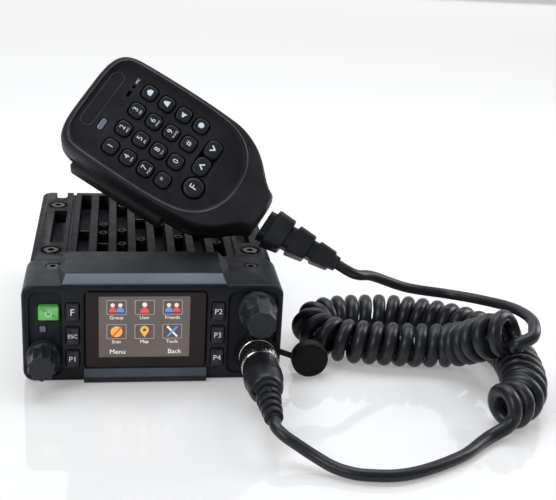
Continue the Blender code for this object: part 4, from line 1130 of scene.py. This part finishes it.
def mic_sign(name, outline, centre, z, body, mats):
    """A flat sign given as (across, up) points around CENTRE."""
    points = [(centre[0] - b, centre[1] + a) for a, b in outline]
    sign = prisms(name, [(points, z, z + 0.1)], mats["blue_white"], on_floor, MIC_POSE)
    mount(sign, body, "key")


def make_mic_keys(mats):
    legends = {"key_1": ("1", ""), "key_2": ("2", "ABC"), "key_3": ("3", "DEF"),
               "key_4": ("4", "GHI"), "key_5": ("5", "JKL"), "key_6": ("6", "MNO"),
               "key_7": ("7", "PQRS"), "key_8": ("8", "TUV"), "key_9": ("9", "WXYZ"),
               "key_star": ("*", ""), "key_0": ("0", ""), "key_hash": ("#", "")}
    for node, (x, y) in mic_key_places():
        cap_name = "pad_" + node
        layers = boxy((x, y), (MIC_KEY, MIC_KEY), 1.1, -2.0, 2.4, 0.8, 1, 6)
        body = "mic_" + node + "_body"
        cap = layered(cap_name, layers, mats["key"], on_floor, MIC_POSE)
        mount(settle(cap), body, "key", "mic_" + node)
        if node in legends:
            text, small = legends[node]
            shift = 0.6 if small else 0.0
            mic_word(cap_name + "_digit", text, 3.9, x - shift, y, 1.12, body, mats)
            if small:
                mic_word(cap_name + "_letters", small, 1.35, x + 2.1, y, 1.12, body, mats)
    top = 1.06
    places = dict(mic_key_places())
    signs = (("sign_home", "key_a", [(-1.5, -1.3), (1.5, -1.3), (1.5, 0.2), (0.0, 1.6), (-1.5, 0.2)]),
             ("sign_bell", "key_b", [(-1.6, -1.2), (1.6, -1.2), (0.9, 0.6), (0.4, 1.6), (-0.4, 1.6),
                                     (-0.9, 0.6)]),
             ("sign_speaker", "key_c", [(-1.6, -0.6), (-0.7, -0.6), (0.5, -1.5), (0.5, 1.5),
                                        (-0.7, 0.6), (-1.6, 0.6)]),
             ("sign_disc", "key_d", circle(1.4, 20)))
    for name, node, outline in signs:
        mic_sign(name, outline, places[node], top, "mic_" + node + "_body", mats)
    for node, (x, y) in ARROW_KEYS:
        body = "mic_" + node + "_body"
        cap = layered("pad_" + node, boxy((x, y), (7.4, 9.0), 1.1, -2.0, 3.0, 0.8, 1, 6),
                      mats["key"], on_floor, MIC_POSE)
        mount(settle(cap), body, "key", "mic_" + node)
        sense = 1 if node == "key_up" else -1
        chevron = [(-1.7, -0.9), (-1.1, -1.3), (0.0, 0.3), (1.1, -1.3), (1.7, -0.9), (0.0, 1.4)]
        outline = [(a, b * sense) for a, b in chevron]
        if sense < 0:
            outline = outline[::-1]
        mic_sign("chevron_" + node, outline, (x, y), top, body, mats)
    profile = [(4.8, -2.0), (4.8, 0.3), (4.65, 0.8), (4.2, 1.15), (3.4, 1.3)]
    cap = turned("pad_key_f", profile, ROUND_KEY, mats["key"], on_floor, 48, MIC_POSE)
    mount(settle(cap), "mic_key_f_body", "key", "mic_key_f")
    mic_word("pad_key_f_letter", "F", 5.2, ROUND_KEY[0], ROUND_KEY[1], 1.32, "mic_key_f_body", mats)


def make_mic_details(mats):
    lens = layered("transmit_lens", boxy(MIC_LED, (2.8, 6.2), 0.3, -2.1, 1.3, 0.5, 1, 5),
                   mats["lens"], on_floor, MIC_POSE)
    mount(settle(lens), "mic", "lens", "mic_led_lens")
    right = MIC_POSE.to_3x3() @ Vector((0, 1, 0))
    up = MIC_POSE.to_3x3() @ Vector((-1, 0, 0))
    label = word("voice_label", "MIC", 1.7, mic_point(-22.4, 18.2, 0.04), right, up,
                 mats["blue_white"])
    mount(label, "mic", "mic")
    button = [(6.6, MIC_BACK - 6.0), (7.2, MIC_BACK - 5.7), (7.4, MIC_BACK - 5.2),
              (7.3, MIC_BACK - 4.3), (6.8, MIC_BACK - 4.0), (4.0, MIC_BACK - 3.6),
              (4.0, MIC_BACK + 0.4)]
    hook = turned("hang_button", button, (0.0, 0.0), mats["nickel"], on_floor, 40, MIC_POSE)
    mount(settle(hook), "mic", "nickel")
    for number, centre in enumerate(((-29.0, 17.0), (-29.0, -17.0), (30.0, 15.0), (30.0, -18.0))):
        profile = [(2.2, MIC_BACK + 0.9), (2.2, MIC_BACK - 0.1), (1.9, MIC_BACK - 0.3),
                   (0.8, MIC_BACK - 0.3), (0.7, MIC_BACK + 0.5)]
        bolt = turned("back_bolt_%d" % number, profile, centre, mats["screw"], on_floor, 28,
                      MIC_POSE)
        mount(settle(bolt), "mic", "screw")

    start, end = Vector(RELIEF_START), Vector(RELIEF_END)
    blocks, first, pitch, share_long = 3, 0.08, 0.305, 0.235
    rings = [(0.0, 7.2, 6.2)]
    for i in range(blocks):
        wide, deep = 9.3 - 1.8 * i, 7.3 - 1.3 * i
        low = first + pitch * i
        high = low + share_long
        neck = (wide * 0.62, deep * 0.7)
        edge = 0.012
        rings.append((low - 0.004, rings[-1][1], rings[-1][2]))
        rings += [(low, wide - 0.6, deep - 0.6), (low + edge, wide, deep),
                  (high - edge, wide - 0.9, deep - 0.7), (high, wide - 1.5, deep - 1.3),
                  (high + 0.006, neck[0], neck[1])]
    rings.append((1.0, 3.2, 3.2))
    bm = bmesh.new()
    lofted = []
    for share, wide, deep in rings:
        middle = start.lerp(end, share)
        ring = rounded(2 * wide, 2 * deep, min(wide, deep) * 0.5, 5)
        lofted.append([(middle.x, middle.y + a, CORD_PLANE + b) for a, b in ring])
    add_loft(bm, lofted)
    relief = object_from("cord_relief", bm, mats["cord"], MIC_POSE)
    mount(settle(relief), "mic", "cord", "mic_strain_relief")


def dress_inner_nodes(mats):
    """Inner CAD nodes keep their shape and take a finished material."""
    wanted = {"lcd_module": "dark", "main_board": "dark", "mic_board": "dark",
              "mic_capsule": "screw", "loudspeaker": "screw", "volume_encoder": "nickel",
              "channel_encoder": "nickel"}
    for node, key in wanted.items():
        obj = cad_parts[node]
        obj.data.materials.clear()
        obj.data.materials.append(mats[key])


def main():
    mats = make_materials()
    make_camera()
    make_studio()
    make_connector(mats)
    make_cord(mats)
    make_front_housing(mats)
    make_heatsink(mats)
    make_screws(mats)
    make_face_keys(mats)
    make_display(mats)
    make_knobs(mats)
    make_rear(mats)
    make_mic_cases(mats)
    make_ptt(mats)
    make_mic_keys(mats)
    make_mic_details(mats)
    dress_inner_nodes(mats)


main()
